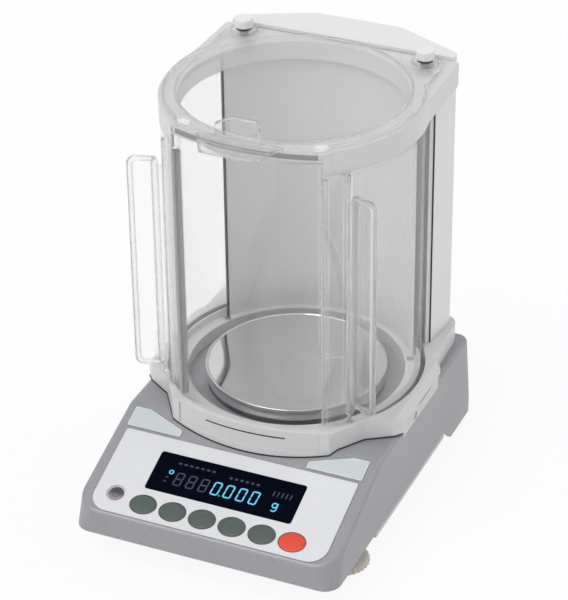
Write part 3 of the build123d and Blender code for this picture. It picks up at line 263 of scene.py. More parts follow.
finishes = {
    "silver_paint": flecked_paint(),
    "tray": moulded("tray_plastic", linear(200, 200, 200), 0.55),
    "gasket": moulded("black_seal", linear(34, 34, 36), 0.7),
    "overlay": moulded("printed_film", linear(223, 224, 227), 0.38, 0.015, 1600.0, 0.00002, 0.0002, 0.15),
    "plates": moulded("plate_film", linear(203, 211, 213), 0.34, 0.01, 1600.0, 0.00002, 0.0002, 0.2),
    "window": moulded("display_pane", linear(4, 8, 22), 0.5, 0.2, 400.0, 0.00001, 0.0),
    "tube": moulded("display_tube_glass", linear(40, 60, 66), 0.2, 0.1),
    "board": moulded("circuit_board", linear(24, 92, 50), 0.45, 0.15),
    "black": moulded("black_plastic", linear(28, 28, 30), 0.5),
    "screws": metal("plated_screws", linear(188, 188, 190), 0.3, (1.0, 1.0, 12.0), 900.0),
    "posts": metal("bright_posts", linear(168, 168, 170), 0.3, (1.0, 1.0, 18.0), 700.0),
    "aluminium": metal("milled_aluminium", linear(200, 202, 206), 0.36, (1.0, 20.0, 1.0), 300.0),
    "level": moulded("level_case", linear(208, 208, 212), 0.3, 0.02),
    "spirit": spirit(),
    "shield": moulded("pale_shield", linear(215, 215, 215), 0.38, 0.02, 1100.0, 0.00003, 0.0006, 0.15),
    "housing": moulded("pale_rear_housing", linear(232, 232, 232), 0.42, 0.015, 1100.0, 0.00003, 0.0006),
    "wall": moulded("grey_back_wall", linear(218, 218, 218), 0.4, 0.02, 700.0, 0.00002, 0.0003),
    # The rim colours of the clear finishes are painted shade at their edges.
    "clear": clear("clear_pane", (0.97, 0.97, 0.97, 1.0), (0.55, 0.55, 0.55, 1.0), 0.02, 0.5),
    "clear_thick": clear("clear_moulding", (0.86, 0.86, 0.86, 1.0), (0.38, 0.38, 0.38, 1.0), 0.20, 0.9),
    "clear_thin": clear("clear_lid_grip", (0.90, 0.90, 0.90, 1.0), (0.38, 0.38, 0.38, 1.0), 0.14, 0.85),
    "clear_edge": clear("clear_rounded_edge", (0.97, 0.97, 0.97, 1.0), (0.34, 0.34, 0.34, 1.0), 0.6, 1.0),
    # The left door seal is painted grey as shade, though it is the same clear moulding as the right one.
    "left_seal_shade": moulded("painted_shade_left_seal", linear(168, 168, 168), 0.4),
    # Black for the post washers and the draft ring, and painted shade for the dark strips in joints, slots
    # and along edges.
    "dark_gap": moulded("dark_parts_and_painted_gap_shade", linear(40, 40, 42), 0.6, 0.1),
    # Painted shade in the recess along the frame's front
    "frame_band": moulded("painted_shade_frame_band", linear(146, 146, 147), 0.4, 0.08, 60.0),
    # Painted shade in the gap along the overlay's edge
    "fine_line": moulded("painted_gap_shade_line", linear(150, 152, 158), 0.5, 0.02),
    "key_line": moulded("key_gap_shade", linear(92, 96, 94), 0.6, 0.05),
    "white": moulded("white_plastic", linear(236, 236, 236), 0.35, 0.01, 900.0, 0.00002, 0.0005, 0.2),
    "bumper": moulded("soft_white_bumper", linear(250, 250, 250), 0.6, 0.01, 900.0, 0.00002, 0.0003),
    "plate_line": moulded("pale_plate_line", linear(242, 243, 244), 0.45, 0.01),
    "lock": moulded("lock_plastic", linear(206, 205, 202), 0.36, 0.02),
    "green_key": moulded("green_rubber", linear(73, 86, 80), 0.42, 0.06, 1200.0, 0.00003, 0.0003, 0.15),
    "red_key": moulded("red_rubber", linear(226, 66, 42), 0.42, 0.05, 1200.0, 0.00003, 0.0003, 0.15),
    "steel": metal("polished_pan_steel", linear(232, 232, 232), 0.05, (1.0, 30.0, 1.0), 120.0, 0.000002),
    "foot": moulded("wheel_plastic", linear(206, 200, 192), 0.5, 0.05),
    "pad": moulded("pad_rubber", linear(52, 52, 54), 0.75),
    "lit": glowing("lit_phosphor", linear(96, 208, 246)),
    # The unlit marks' glow is painted: it stands in for their dim look.
    "unlit": glowing("unlit_phosphor_painted_glow", linear(34, 32, 58)),
}
# The display pane is kept nearly free of reflections
finishes["window"].node_tree.nodes["Principled BSDF"].inputs["Specular IOR Level"].default_value = 0.015

node_finishes = {
    "silver_paint": ["upper_housing"],
    "tray": ["base_tray"],
    "gasket": ["housing_gasket"],
    "overlay": ["keypad_overlay"],
    "plates": ["left_plate", "right_plate"],
    "window": ["display_window"],
    "tube": ["display_tube"],
    "board": ["display_board", "main_board"],
    "black": ["key_switches", "serial_connector", "power_inlet"],
    "screws": ["board_screws", "case_screws", "load_cell_screws", "shield_screws"],
    "posts": ["lid_posts"],
    "dark_gap": ["post_washers", "draft_ring"],
    "aluminium": ["load_cell", "load_cell_bracket", "pan_support"],
    "level": ["level_vial"],
    "spirit": ["level_fluid"],
    "shield": ["shield_base", "upper_frame"],
    "housing": ["rear_housing", "rear_cap"],
    "wall": ["back_wall"],
    "clear": ["front_pane", "left_door_glass", "right_door_glass", "lid_plate"],
    "clear_thick": ["left_door_handle", "right_door_handle"],
    "clear_thin": ["lid_handle"],
    "clear_edge": ["right_door_seal"],
    "left_seal_shade": ["left_door_seal"],
    "white": ["left_knob", "right_knob"],
    "bumper": ["lid_bumpers"],
    "lock": ["left_lock", "right_lock"],
    "green_key": [f"{name}_key" for name in key_names[:5]],
    "red_key": ["zero_key"],
    "steel": ["weighing_pan"],
    "foot": [f"{corner}_foot_wheel" for corner in corner_names],
    "pad": [f"{corner}_foot_pad" for corner in corner_names],
}
for finish_name, node_list in node_finishes.items():
    for node_name in node_list:
        node_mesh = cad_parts[node_name].data
        node_mesh.materials.clear()
        node_mesh.materials.append(finishes[finish_name])


# Surfaces
def grid_quads(rows, columns, wrap_rows=False, wrap_columns=False):
    """Four corners of every cell of a grid of points, joined round where asked."""
    row = np.arange(rows if wrap_rows else rows - 1)[:, None]
    column = np.arange(columns if wrap_columns else columns - 1)[None, :]
    below = (row + 1) % rows
    beside = (column + 1) % columns
    corners = [
        row * columns + column,
        row * columns + beside,
        below * columns + beside,
        below * columns + column,
    ]
    return np.stack(corners, axis=-1).reshape(-1, 4)


def capped(rows, sides):
    """Faces of a closed section carried along a path, with both ends shut."""
    last = sides * (rows - 1)
    walls = [list(face) for face in grid_quads(rows, sides, wrap_columns=True)]
    return walls + [list(range(sides))[::-1], list(range(last, last + sides))]


def runs_between(corners, count=8):
    """Points spaced evenly along each straight run between corners."""
    corners = np.array(corners, float)
    share = np.linspace(0, 1, count, endpoint=False)[:, None]
    runs = [first + (second - first) * share for first, second in zip(corners[:-1], corners[1:])]
    return np.concatenate(runs + [corners[-1:]])


def make_piece(name, points, faces, finish_name, body, slot_name, smooth=True):
    """Puts points and faces into a mesh, closes its seams, turns its faces outwards and lets it ride."""
    mesh = bpy.data.meshes.new(name)
    mesh.from_pydata(points.reshape(-1, 3).tolist(), [], [list(face) for face in faces])
    sheet = bmesh.new()
    sheet.from_mesh(mesh)
    bmesh.ops.remove_doubles(sheet, verts=sheet.verts, dist=1e-7)
    bmesh.ops.recalc_face_normals(sheet, faces=sheet.faces)
    sheet.to_mesh(mesh)
    sheet.free()
    mesh.polygons.foreach_set("use_smooth", np.full(len(mesh.polygons), smooth))
    mesh.materials.append(finishes[finish_name])
    piece = bpy.data.objects.new(name, mesh)
    bpy.context.scene.collection.objects.link(piece)
    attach(piece, body)
    return piece


def clear_piece(name, surface, finish_name, body):
    """Piece of clear plastic on a door or the lid."""
    make_piece(name, *surface, finish_name, body, "clear_plastic")


def gap_shade(name, surface, body="balance", smooth=False):
    """Dark strip that stands for the shade in a joint or a slot, or along an edge."""
    make_piece(name, *surface, "dark_gap", body, "gasket_rubber", smooth)


def panel_mark(name, surface, finish_name, slot_name="overlay_print"):
    """Flat mark on the panel, the display or the level."""
    make_piece(name, *surface, finish_name, "balance", slot_name, smooth=False)


def on_panel(across, up, lift):
    """Point on the sloped panel: across, up the slope, and lifted along the slope's normal."""
    across, up, lift = np.broadcast_arrays(across, up, lift)
    local = np.stack([
        across,
        up * np.cos(panel_angle) - lift * np.sin(panel_angle),
        up * np.sin(panel_angle) + lift * np.cos(panel_angle),
    ], axis=-1)
    return panel_origin + local


def bowed_y(x, front, radius=bow_r):
    """Place on a bowed front: y = -(front - b + sqrt(r^2 - x^2)), where b is the bow's own radius."""
    return -(front - bow_r + np.sqrt(radius ** 2 - x ** 2))


def turned(profile, centre, steps):
    """Each profile point (r, z) swings round an upright axis: x = r sin t, y = -r cos t."""
    radius, height = np.array(profile).T
    angle = np.linspace(0, 2 * np.pi, steps, endpoint=False)
    points = np.stack([
        centre[0] + radius[:, None] * np.sin(angle),
        centre[1] - radius[:, None] * np.cos(angle),
        np.broadcast_to(height[:, None], (len(radius), steps)),
    ], axis=-1)
    return points, grid_quads(len(radius), steps, wrap_columns=True)


def tube(path, radius, across, closed=False):
    """At each path point a circle spanned by a fixed direction and its cross product with the path."""
    sides = 12
    path = np.array(path)
    if closed:
        along = np.roll(path, -1, axis=0) - np.roll(path, 1, axis=0)
    else:
        along = np.gradient(path, axis=0)
    along /= np.linalg.norm(along, axis=1)[:, None]
    first = np.broadcast_to(np.array(across, float), along.shape)
    second = np.cross(along, first)
    size = np.full(len(path), radius)
    if not closed:
        size[[0, -1]] = 0.0
        size[[1, -2]] = radius * 0.7
    angle = np.linspace(0, 2 * np.pi, sides, endpoint=False)[None, :, None]
    circle = np.cos(angle) * first[:, None, :] + np.sin(angle) * second[:, None, :]
    points = path[:, None, :] + size[:, None, None] * circle
    return points, grid_quads(len(path), sides, wrap_rows=closed, wrap_columns=True)


def ribbon(path, width, low, high, closed=False):
    """Flat strip on the panel: a rectangle of the given width carried along a path."""
    path = np.array(path)
    if closed:
        along = np.roll(path, -1, axis=0) - np.roll(path, 1, axis=0)
    else:
        along = np.gradient(path, axis=0)
    along /= np.linalg.norm(along, axis=1)[:, None]
    side = np.stack([-along[:, 1], along[:, 0]], axis=-1) * width / 2
    left = path + side
    right = path - side
    points = np.stack([
        on_panel(left[:, 0], left[:, 1], low),
        on_panel(right[:, 0], right[:, 1], low),
        on_panel(right[:, 0], right[:, 1], high),
        on_panel(left[:, 0], left[:, 1], high),
    ], axis=1)
    faces = [list(face) for face in grid_quads(len(path), 4, wrap_rows=closed, wrap_columns=True)]
    if not closed:
        last = 4 * (len(path) - 1)
        faces += [[3, 2, 1, 0], [last, last + 1, last + 2, last + 3]]
    return points.reshape(-1, 3), faces


def joined(parts):
    """Several sets of points and faces as one."""
    points = []
    faces = []
    count = 0
    for part_points, part_faces in parts:
        flat = np.asarray(part_points).reshape(-1, 3)
        points.append(flat)
        faces += [[corner + count for corner in face] for face in part_faces]
        count += len(flat)
    return np.concatenate(points), faces


# Display reading: seven bars for each digit, and plain marks beside them
digit_height = 0.0109
digit_width = 0.0060
bar = 0.00105
digit_first_x = -0.0334
digit_pitch = 0.0093
digit_middle = -0.0308
lean = 0.07
bar_places = {
    "top": (0.0, 1.0, True),
    "middle": (0.0, 0.0, True),
    "bottom": (0.0, -1.0, True),
    "upper_left": (-1.0, 0.5, False),
    "upper_right": (1.0, 0.5, False),
    "lower_left": (-1.0, -0.5, False),
    "lower_right": (1.0, -0.5, False),
}
mark_low = overlay_lift
mark_high = overlay_lift + 0.00006


def bar_block(centre_x, centre_up, length, thickness, level):
    """Six-sided bar with pointed ends, leaning with its height."""
    half = length / 2
    point = thickness / 2
    along = np.array([-half, -half + point, half - point, half, half - point, -half + point])
    cross = np.array([0, point, point, 0, -point, -point])
    x, up = (along, cross) if level else (cross, along)
    across = centre_x + x + lean * (centre_up - digit_middle + up)
    rise = centre_up + up
    points = np.concatenate([on_panel(across, rise, mark_low), on_panel(across, rise, mark_high)])
    sides = [[k, (k + 1) % 6, 6 + (k + 1) % 6, 6 + k] for k in range(6)]
    return points, [[5, 4, 3, 2, 1, 0], [6, 7, 8, 9, 10, 11]] + sides


def digit(number, names):
    """The named bars of one digit."""
    centre = digit_first_x + digit_pitch * number
    half_width = digit_width / 2 - bar / 2
    half_height = digit_height / 2 - bar / 2
    blocks = []
    for name in names:
        x, up, level = bar_places[name]
        length = 2 * half_width - 0.0001 if level else half_height - 0.0001
        blocks.append(bar_block(centre + x * half_width, digit_middle + up * half_height, length, bar, level))
    return blocks


zero_bars = [name for name in bar_places if name != "middle"]
lit = []
for place in range(3, 7):
    lit += digit(place, zero_bars)
point_x = digit_first_x + 3.5 * digit_pitch - 0.0002
lit.append(bar_block(point_x, digit_middle - digit_height / 2 + bar / 2, 0.0012, 0.0011, True))
turn = np.linspace(0, 2 * np.pi, 28, endpoint=False)
ring_path = np.stack([-0.0408 + 0.0014 * np.cos(turn), -0.0265 + 0.0014 * np.sin(turn)], axis=-1)
lit.append(ribbon(ring_path, 0.0008, mark_low, mark_high, closed=True))
bowl = np.stack([0.0382 + 0.0017 * np.cos(turn), -0.0326 + 0.0018 * np.sin(turn)], axis=-1)
lit.append(ribbon(bowl, 0.0009, mark_low, mark_high, closed=True))
hook_turn = np.linspace(0, -np.pi * 0.8, 14)
hook = np.concatenate([
    np.array([[0.0401, -0.0308], [0.0401, -0.0337]]),
    np.stack([0.0383 + 0.0018 * np.cos(hook_turn), -0.0356 + 0.0017 * np.sin(hook_turn)], axis=-1),
])
lit.append(ribbon(hook, 0.0009, mark_low, mark_high))
panel_mark("display_reading", joined(lit), "lit", "display_dark")

# Unlit marks, given a faint painted glow
unlit = []
for place in range(3):
    unlit += digit(place, list(bar_places))
for mark in range(7):
    unlit.append(bar_block(-0.0385 + 0.0042 * mark, -0.0183, 0.0030, 0.0016, True))
for mark in range(6):
    unlit.append(bar_block(0.0002 + 0.0040 * mark, -0.0200, 0.0028, 0.0018, True))
for mark in range(5):
    unlit.append(bar_block(0.0335 + 0.0031 * mark, -0.0236, 0.0046, 0.0009, False))
for mark in range(2):
    unlit.append(bar_block(-0.0422, -0.0310 - 0.0035 * mark, 0.0022, 0.0010, True))
panel_mark("display_unlit_marks", joined(unlit), "unlit", "display_dark")


# Key caps: a low crown with a round dish near its upper edge
def key_cap(centre_x):
    """Rings of an ellipse over the crown, then a wall and a flange.

    At a share s of the way out, lift = edge + crown (1 - s^2) - drop - dish exp(-(d / width)^2),
    where d is the distance from the dish's middle.
    """
    half_x = 0.00935
    half_up = 0.0074
    edge = 0.00065
    crown = 0.00045
    dish = 0.0004
    dish_up = 0.0034
    dish_width = 0.0018
    wall_top = 0.0001
    steps = 72
    share = np.concatenate([np.linspace(0, 0.9, 19), [0.94, 0.97, 0.99, 1.0, 1.0, 1.0, 1.0, 1.0, 0.0]])
    drop = np.concatenate([np.zeros(19), [0.00006, 0.00018, 0.00036, 0.0006, 0.0]])
    rings = len(drop)
    spread = np.concatenate([np.zeros(rings), [0.0, 0.0012, 0.0012, 0.0]])
    low = np.array([-0.0033, -0.0033, -0.0045, -0.0045])
    angle = np.linspace(0, 2 * np.pi, steps, endpoint=False)
    x = (half_x * share + spread)[:, None] * np.cos(angle)
    up = (half_up * share + spread)[:, None] * np.sin(angle)
    dome = edge + crown * (1 - share[:rings, None] ** 2) - drop[:, None]
    hollow = dish * np.exp(-((x[:rings] ** 2 + (up[:rings] - dish_up) ** 2) / dish_width ** 2))
    top = dome - hollow
    top[-1] = wall_top
    lift = np.concatenate([top, np.broadcast_to(low[:, None], (len(low), steps))])
    points = on_panel(centre_x + x, -key_down + up, lift)
    return points, grid_quads(len(share), steps, wrap_columns=True)


for number, key_name in enumerate(key_names):
    cap_points, cap_faces = key_cap(key_first_x + key_pitch * number)
    is_red = key_name == "zero"
    cap = make_piece(
        f"{key_name}_key_cap", cap_points, cap_faces,
        "red_key" if is_red else "green_key", f"{key_name}_button", "key_red" if is_red else "key_green",
    )
    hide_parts(f"{key_name}_key")

# Ring that the level is read against
read_r = 0.0024
read_ring = np.array(level_place) + read_r * np.stack([np.cos(turn), np.sin(turn)], axis=-1)
panel_mark("level_ring", ribbon(read_ring, 0.0003, -0.0007, -0.00062, closed=True), "black", "switch_black")


def pan_profile():
    """Outline of half the pan, with rounded rim corners: short arcs between straight runs."""
    corner = np.radians(np.linspace(0, 90, 6))
    rim_in = 0.0624
    flat = pan_top - 0.0005
    inner_r = 0.0004
    outer_r = 0.0006
    lip = 0.0003
    under = flat - pan_sheet
    foot = pan_top - 0.0086
    boss_r = 0.007
    boss_low = under - 0.0026
    rise = np.stack([
        rim_in - inner_r + inner_r * np.sin(corner),
        flat + inner_r - inner_r * np.cos(corner),
    ], axis=-1)
    over = np.stack([
        pan_r - outer_r + outer_r * np.sin(corner),
        pan_top - outer_r + outer_r * np.cos(corner),
    ], axis=-1)
    rest = np.array([
        [pan_r, foot + lip], [pan_r - lip, foot], [pan_r - outer_r, foot],
        [pan_r - pan_sheet, foot + lip], [pan_r - pan_sheet, under - 0.0008],
        [pan_r - 0.0017, under], [boss_r, under], [boss_r, boss_low], [0.0, boss_low],
    ])
    return np.concatenate([[[0.0, flat], [0.02, flat], [0.045, flat]], rise, over, rest])


pan_points, pan_faces = turned(pan_profile(), (0.0, pan_y), 192)
pan = make_piece("pan_disc", pan_points, pan_faces, "steel", "pan", "pan_steel")
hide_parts("weighing_pan")


# Beads on the clear mouldings
def grip_bead(side):
    """Tube round the grip's free edge, with quarter turns at its two corners."""
    root = np.array([0.0705, -0.067])
    tip = np.array([0.088, -0.0736])
    run = (tip - root) / np.linalg.norm(tip - root)
    inset = 0.0014
    reach = np.linalg.norm(tip - root) - inset
    low = pan_top + 0.020 + inset
    high = pan_top + 0.1806 - inset
    corner = 0.0040
    quarter = np.radians(np.linspace(90, 0, 8))
    lead = 0.0015
    bead_r = 0.0021
    upper = np.stack([
        reach - corner + corner * np.cos(quarter),
        high - corner + corner * np.sin(quarter),
    ], axis=-1)
    lower = np.stack([
        reach - corner + corner * np.cos(quarter[::-1]),
        low + corner - corner * np.sin(quarter[::-1]),
    ], axis=-1)
    start = np.array([[0.0, high], [lead, high]])
    end = np.array([[lead, low], [0.0, low]])
    down = np.linspace(high - corner, low + corner, 40)[1:-1]
    straight = np.stack([np.full(len(down), reach), down], axis=-1)
    flat = np.concatenate([start, upper, straight, lower, end])
    path = np.stack([
        side * (root[0] + flat[:, 0] * run[0]),
        pan_y + root[1] + flat[:, 0] * run[1],
        flat[:, 1],
    ], axis=-1)
    across = (side * -run[1], run[0], 0.0)
    return tube(path, bead_r, across)


def upright_rod(side, place, low, high, radius):
    """Straight tube between two heights, with its ends rounded off over one radius."""
    first_step = radius * 0.3
    heights = np.concatenate([
        [low, low + first_step],
        np.linspace(low + radius, high - radius, 12),
        [high - first_step, high],
    ])
    path = np.stack([
        np.full(len(heights), side * place[0]),
        np.full(len(heights), pan_y + place[1]),
        heights,
    ], axis=-1)
    return tube(path, radius, (1.0, 0.0, 0.0))


for side_name, side in both_sides:
    clear_piece(f"{side_name}_grip_bead", grip_bead(side), "clear_edge", f"{side_name}_door")
    root_rod = upright_rod(side, (0.0712, -0.0673), pan_top + 0.0205, pan_top + 0.1801, 0.0026)
    clear_piece(f"{side_name}_grip_root", root_rod, "clear_thick", f"{side_name}_door")

rim_r = 0.0785
rim_turn = np.linspace(0, 2 * np.pi, 160, endpoint=False)
rim_path = np.stack([
    rim_r * np.sin(rim_turn),
    pan_y - rim_r * np.cos(rim_turn),
    np.full(len(rim_turn), lid_top + 0.0002),
], axis=-1)
clear_piece("lid_rim_bead", tube(rim_path, 0.0009, upward, closed=True), "clear_edge", "lid")


def lid_edge_path():
    """Lid's edge from one ear round the front to the other: a bowed front between two arcs."""
    lid_front = 0.0846
    lid_r = 0.0876
    inset = 0.0008
    front_x = np.linspace(0.0, 0.0506, 20)
    front = np.stack([front_x, bowed_y(front_x, lid_front)], axis=-1)
    arc = np.radians(np.linspace(39.7, 114.5, 48))
    round_part = np.stack([lid_r * np.sin(arc), -lid_r * np.cos(arc)], axis=-1)
    straight = np.stack([np.full(6, 0.0797), np.linspace(0.040, 0.0665, 6)], axis=-1)
    half = np.concatenate([front[1:], round_part, straight])
    mirrored = half[::-1] * np.array([-1, 1])
    flat = np.concatenate([mirrored, front[:1], half])
    inward = flat * (1 - inset / np.linalg.norm(flat, axis=1)[:, None])
    return np.stack([inward[:, 0], pan_y + inward[:, 1], np.full(len(flat), lid_top - 0.0005)], axis=-1)


clear_piece("lid_edge_bead", tube(lid_edge_path(), 0.0010, upward), "clear_edge", "lid")

grip_corners = np.array([
    [-0.0183, -0.0840], [-0.0120, -0.0730], [0.0070, -0.0730], [0.0133, -0.0840],
])
grip_top = np.column_stack([grip_corners[:, 0], pan_y + grip_corners[:, 1], np.full(4, lid_top + 0.0097)])
clear_piece("lid_grip_top_bead", tube(runs_between(grip_top), 0.0009, upward), "clear_edge", "lid")
tongue_corners = np.array([
    [-0.0330, -0.0813, 0.0], [-0.02878, -0.0882, 0.0], [-0.0223, -0.0988, -0.0029],
    [0.0173, -0.0988, -0.0029], [0.02378, -0.0882, 0.0], [0.0280, -0.0813, 0.0],
])
tongue_path = runs_between(tongue_corners) + np.array([0.0, pan_y, lid_top - 0.0011])
clear_piece("lid_tongue_bead", tube(tongue_path, 0.0010, upward), "clear_edge", "lid")

# Each ear's bead goes round the place of a lid post, with a gap at the rear
post_x = 0.0668
post_y = 0.0675
ear_r = 0.0090
ear_opening = 0.46
ear_turn = np.linspace(ear_opening, 2 * np.pi - ear_opening, 60)
for side_name, side in both_sides:
    ear_path = np.stack([
        side * post_x + ear_r * np.sin(ear_turn),
        pan_y + post_y + ear_r * np.cos(ear_turn),
        np.full(len(ear_turn), lid_top + 0.0011),
    ], axis=-1)
    clear_piece(f"{side_name}_ear_bead", tube(ear_path, 0.0007, upward), "clear_edge", "lid")


# Upright edges of the doors, and strips of painted shade at the housing behind them
def polar(radius, angle):
    """Place about the pan's axis: the angle starts at the front and turns right."""
    return (radius * np.sin(np.radians(angle)), -radius * np.cos(np.radians(angle)))


def upright_blade(side, first, second, width, low, high):
    """Flat upright blade: a run between two places, widened square to it, with heights from the pan's top."""
    first, second = np.array(first), np.array(second)
    run = second - first
    step = np.array([-run[1], run[0]]) / np.linalg.norm(run) * width / 2
    corners = np.stack([first - step, second - step, second + step, first + step])
    levels = 9
    heights = np.linspace(pan_top + low, pan_top + high, levels)
    points = np.stack([
        np.broadcast_to(side * corners[:, 0], (levels, 4)),
        np.broadcast_to(pan_y + corners[:, 1], (levels, 4)),
        np.broadcast_to(heights[:, None], (levels, 4)),
    ], axis=-1)
    return points, capped(levels, 4)


# Each rod has a place, two heights from the pan's top and a radius
door_rods = {
    "seal_bead": (polar(0.0919, 34.5), 0.0047, 0.1918, 0.0009),
    "post_bead": (polar(0.0921, 45.6), 0.0042, 0.1941, 0.0012),
    "door_rear_bead": (polar(0.0887, 124.4), -0.0079, 0.1942, 0.0005),
}
for side_name, side in both_sides:
    for rod_name, (place, low, high, radius) in door_rods.items():
        rod = upright_rod(side, place, pan_top + low, pan_top + high, radius)
        clear_piece(f"{side_name}_{rod_name}", rod, "clear_edge", f"{side_name}_door")
    # Painted shade: dark blades in the gap before the housing, in the lock's groove and along the back wall's
    # left edge.
    housing_gap_shade = upright_blade(side, (0.0789, 0.0545), (0.0794, 0.0553), 0.0007, 0.0022, 0.2075)
    gap_shade(f"{side_name}_housing_gap_shade", housing_gap_shade)
    groove_shade = upright_blade(side, (0.0957, -0.0109), (0.0957, 0.0125), 0.0008, -0.00675, -0.00595)
    gap_shade(f"{side_name}_lock_groove", groove_shade, f"{side_name}_lock_slider")
wall_edge_shade = upright_blade(-1, polar(0.0812, 119.5), polar(0.0829, 119.5), 0.0011, -0.0034, 0.2076)
gap_shade("left_wall_edge", wall_edge_shade)


def bowed_strip(half_width, front, setback, thickness, low, high):
    """Block along a bowed front, from low to high, with its front face set back."""
    steps = 32
    x = np.linspace(-half_width, half_width, steps)
    near = bowed_y(x, front, bow_r - setback)
    far = bowed_y(x, front, bow_r - setback - thickness)
    points = np.stack([
        np.broadcast_to(x[:, None], (steps, 4)),
        pan_y + np.stack([near, far, far, near], axis=-1),
        np.broadcast_to([low, low, high, high], (steps, 4)),
    ], axis=-1)
    return points, capped(steps, 4)


# Painted shade: a grey strip in the recess along the frame's front, under the lid's edge.
band = bowed_strip(0.0500, frame_front, 0.0007, 0.0005, frame_top - 0.0035, frame_top - 0.0002)
make_piece("frame_front_shade_band", *band, "frame_band", "balance", "shield_grey", smooth=False)
# Painted shade: a dark line in the gap before the rear cap.
cap_line_ends = [[x, pan_y + 0.0815, frame_top - 0.0002] for x in (-0.0790, 0.0790)]
gap_shade("rear_cap_gap_shade", tube(runs_between(cap_line_ends, 24), 0.0003, upward), smooth=True)
slot = bowed_strip(0.0293, base_front, 0.0010, 0.0008, pan_top - 0.0043, pan_top - 0.0033)
gap_shade("front_slot_shade", slot)


def base_edge_path():
    """Base's lower edge: a bow, then straight runs to the sides, at the height of the surface below it."""
    lift = 0.0003
    bow_x = np.linspace(0, 0.0583, 24)
    bow = np.stack([bow_x, bowed_y(bow_x, base_front)], axis=-1)
    side_run = runs_between([bow[-1], [0.0743, -0.0561], [0.0915, -0.0449], [0.0965, -0.0390]], 12)
    half = np.concatenate([bow[:-1], side_run])
    flat = np.concatenate([half[:0:-1] * np.array([-1, 1]), half])
    y = pan_y + flat[:, 1]
    slope_z = panel_origin[2] + (y - panel_origin[1]) * np.tan(panel_angle)
    return np.column_stack([flat[:, 0], y, np.minimum(slope_z, deck_z) + lift])


gap_shade("base_edge_shade", tube(base_edge_path(), 0.0006, upward), smooth=True)


# Fine lines on the panel: painted shade along the overlay's edge and round the keys, and borders on the
# plates
def rounded_path(half, top, bottom, top_r, low_r):
    """Outline of four quarter turns, from the upper right corner round, with straight runs between."""
    quarter = np.radians(np.linspace(0, 90, 10))
    corners = (
        (half - top_r, top - top_r, top_r, 0.0),
        (top_r - half, top - top_r, top_r, 0.5 * np.pi),
        (low_r - half, bottom + low_r, low_r, np.pi),
        (half - low_r, bottom + low_r, low_r, 1.5 * np.pi),
    )
    return np.concatenate([
        np.stack([x + radius * np.cos(start + quarter), up + radius * np.sin(start + quarter)], axis=-1)
        for x, up, radius, start in corners
    ])


line_high = 0.00036
edge_path = rounded_path(0.0864, 0.0, -0.0685, 0.002, 0.013)
panel_mark("overlay_edge_shade_line", ribbon(edge_path, 0.00045, 0.0, line_high, closed=True), "fine_line")
plate_corners = np.array([
    [0.0475, 0.0024], [0.0475, 0.0070], [0.0760, 0.0180],
    [0.0870, 0.0180], [0.0870, 0.0024], [0.0475, 0.0024],
])
for side_name, side in both_sides:
    outline = runs_between(plate_corners * np.array([side, 1.0]), 12)[:-1]
    border = ribbon(outline, 0.0005, 0.0004, 0.00086, closed=True)
    panel_mark(f"{side_name}_plate_border", border, "plate_line")
# Painted shade: dark rings on the panel round the keys.
rim_half_x = 0.00965
rim_half_up = 0.0077
wide_turn = np.linspace(0, 2 * np.pi, 64, endpoint=False)
key_shade_rings = [
    ribbon(np.stack([
        key_first_x + key_pitch * number + rim_half_x * np.cos(wide_turn),
        -key_down + rim_half_up * np.sin(wide_turn),
    ], axis=-1), 0.0005, 0.0, line_high, closed=True)
    for number in range(len(key_names))
]
panel_mark("key_rim_shade", joined(key_shade_rings), "key_line")


# Levelling wheels
def knurled_wheel(centre):
    """Rings (r, z, k), in millimetres, round the stud: r less k (1 - cos 30 t) / 2, for 30 flutes."""
    flutes = 30
    steps = 240
    rings = np.array([
        [0.0, 3.5, 0.0], [16.5, 3.5, 0.0], [17.8, 3.6, 0.6], [18.4, 4.1, 1.0], [18.5, 4.8, 1.1],
        [18.4, 5.9, 1.0], [18.0, 6.7, 0.6], [17.1, 7.3, 0.15], [14.8, 7.9, 0.0], [11.0, 8.3, 0.0],
        [7.0, 8.45, 0.0], [3.0, 8.5, 0.0], [3.0, 27.5, 0.0], [0.0, 27.5, 0.0],
    ]) / 1000
    angle = np.linspace(0, 2 * np.pi, steps, endpoint=False)
    radius = rings[:, :1] - rings[:, 2:] * 0.5 * (1 - np.cos(flutes * angle))
    points = np.stack([
        centre[0] + radius * np.sin(angle),
        centre[1] - radius * np.cos(angle),
        np.broadcast_to(rings[:, 1:2], radius.shape),
    ], axis=-1)
    return points, grid_quads(len(rings), steps, wrap_columns=True)


wheel_places = ((-0.078, -0.079375), (0.078, -0.079375), (-0.068, 0.093375), (0.068, 0.093375))
for wheel_name, wheel_place in zip(corner_names, wheel_places):
    surface = knurled_wheel(wheel_place)
    wheel = make_piece(f"{wheel_name}_wheel", *surface, "foot", f"{wheel_name}_foot", "foot_plastic")
    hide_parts(f"{wheel_name}_foot_wheel")


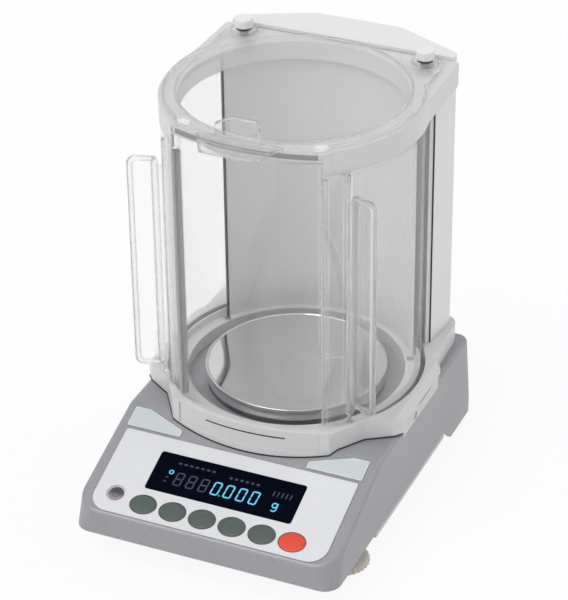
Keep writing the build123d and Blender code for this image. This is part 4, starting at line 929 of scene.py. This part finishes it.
# Floor, backdrop light and lamps
def paper_floor():
    """Pale floor that the camera sees nearly white, with the object's shadow kept on it."""
    bpy.ops.mesh.primitive_plane_add(size=8.0, location=(0.0, 0.0, 0.0))
    floor = bpy.context.object
    floor.name = "floor"
    material = bpy.data.materials.new("pale_floor")
    material.use_nodes = True
    tree = material.node_tree
    shader = tree.nodes["Principled BSDF"]
    shader.inputs["Base Color"].default_value = (0.9, 0.9, 0.9, 1.0)
    shader.inputs["Roughness"].default_value = 0.9
    shine = tree.nodes.new("ShaderNodeEmission")
    shine.inputs["Color"].default_value = (1.0, 1.0, 1.0, 1.0)
    path = tree.nodes.new("ShaderNodeLightPath")
    seen = seen_rays(tree, path)
    share = tree.nodes.new("ShaderNodeMath")
    share.operation = "MULTIPLY"
    share.inputs[1].default_value = 0.9
    mix = tree.nodes.new("ShaderNodeMixShader")
    tree.links.new(seen, share.inputs[0])
    tree.links.new(share.outputs["Value"], mix.inputs["Fac"])
    tree.links.new(shader.outputs["BSDF"], mix.inputs[1])
    tree.links.new(shine.outputs["Emission"], mix.inputs[2])
    tree.links.new(mix.outputs["Shader"], tree.nodes["Material Output"].inputs["Surface"])
    floor.data.materials.append(material)


def seen_rays(tree, path):
    """One for rays that the camera, a reflection or clear plastic sees, and nought for the rest."""
    first = tree.nodes.new("ShaderNodeMath")
    first.operation = "MAXIMUM"
    second = tree.nodes.new("ShaderNodeMath")
    second.operation = "MAXIMUM"
    tree.links.new(path.outputs["Is Camera Ray"], first.inputs[0])
    tree.links.new(path.outputs["Is Glossy Ray"], first.inputs[1])
    tree.links.new(first.outputs["Value"], second.inputs[0])
    tree.links.new(path.outputs["Is Transmission Ray"], second.inputs[1])
    return second.outputs["Value"]


def plain_world():
    """White for what is seen, and an even soft light for the rest."""
    world = bpy.data.worlds.new("studio")
    bpy.context.scene.world = world
    world.use_nodes = True
    tree = world.node_tree
    light = tree.nodes["Background"]
    light.inputs["Color"].default_value = (0.99, 0.995, 1.0, 1.0)
    light.inputs["Strength"].default_value = 0.62
    white = tree.nodes.new("ShaderNodeBackground")
    white.inputs["Strength"].default_value = 1.0
    path = tree.nodes.new("ShaderNodeLightPath")
    mix = tree.nodes.new("ShaderNodeMixShader")
    tree.links.new(seen_rays(tree, path), mix.inputs["Fac"])
    tree.links.new(light.outputs["Background"], mix.inputs[1])
    tree.links.new(white.outputs["Background"], mix.inputs[2])
    tree.links.new(mix.outputs["Shader"], tree.nodes["World Output"].inputs["Surface"])


def lamp(name, direction, strength, spread):
    """Soft distant lamp that shines from a direction."""
    data = bpy.data.lights.new(name, "SUN")
    data.energy = strength
    data.angle = np.radians(spread)
    light = bpy.data.objects.new(name, data)
    light.rotation_mode = "QUATERNION"
    light.rotation_quaternion = Vector(direction).to_track_quat("Z", "Y")
    bpy.context.scene.collection.objects.link(light)


paper_floor()
plain_world()
lamp("key_lamp", (-0.30, -0.45, 1.0), 0.95, 35.0)
lamp("fill_lamp", (-0.2, -1.0, 0.5), 0.25, 40.0)
lamp("edge_lamp", (0.53, 0.56, 0.62), 0.35, 14.0)
bpy.context.scene.view_settings.view_transform = "Standard"
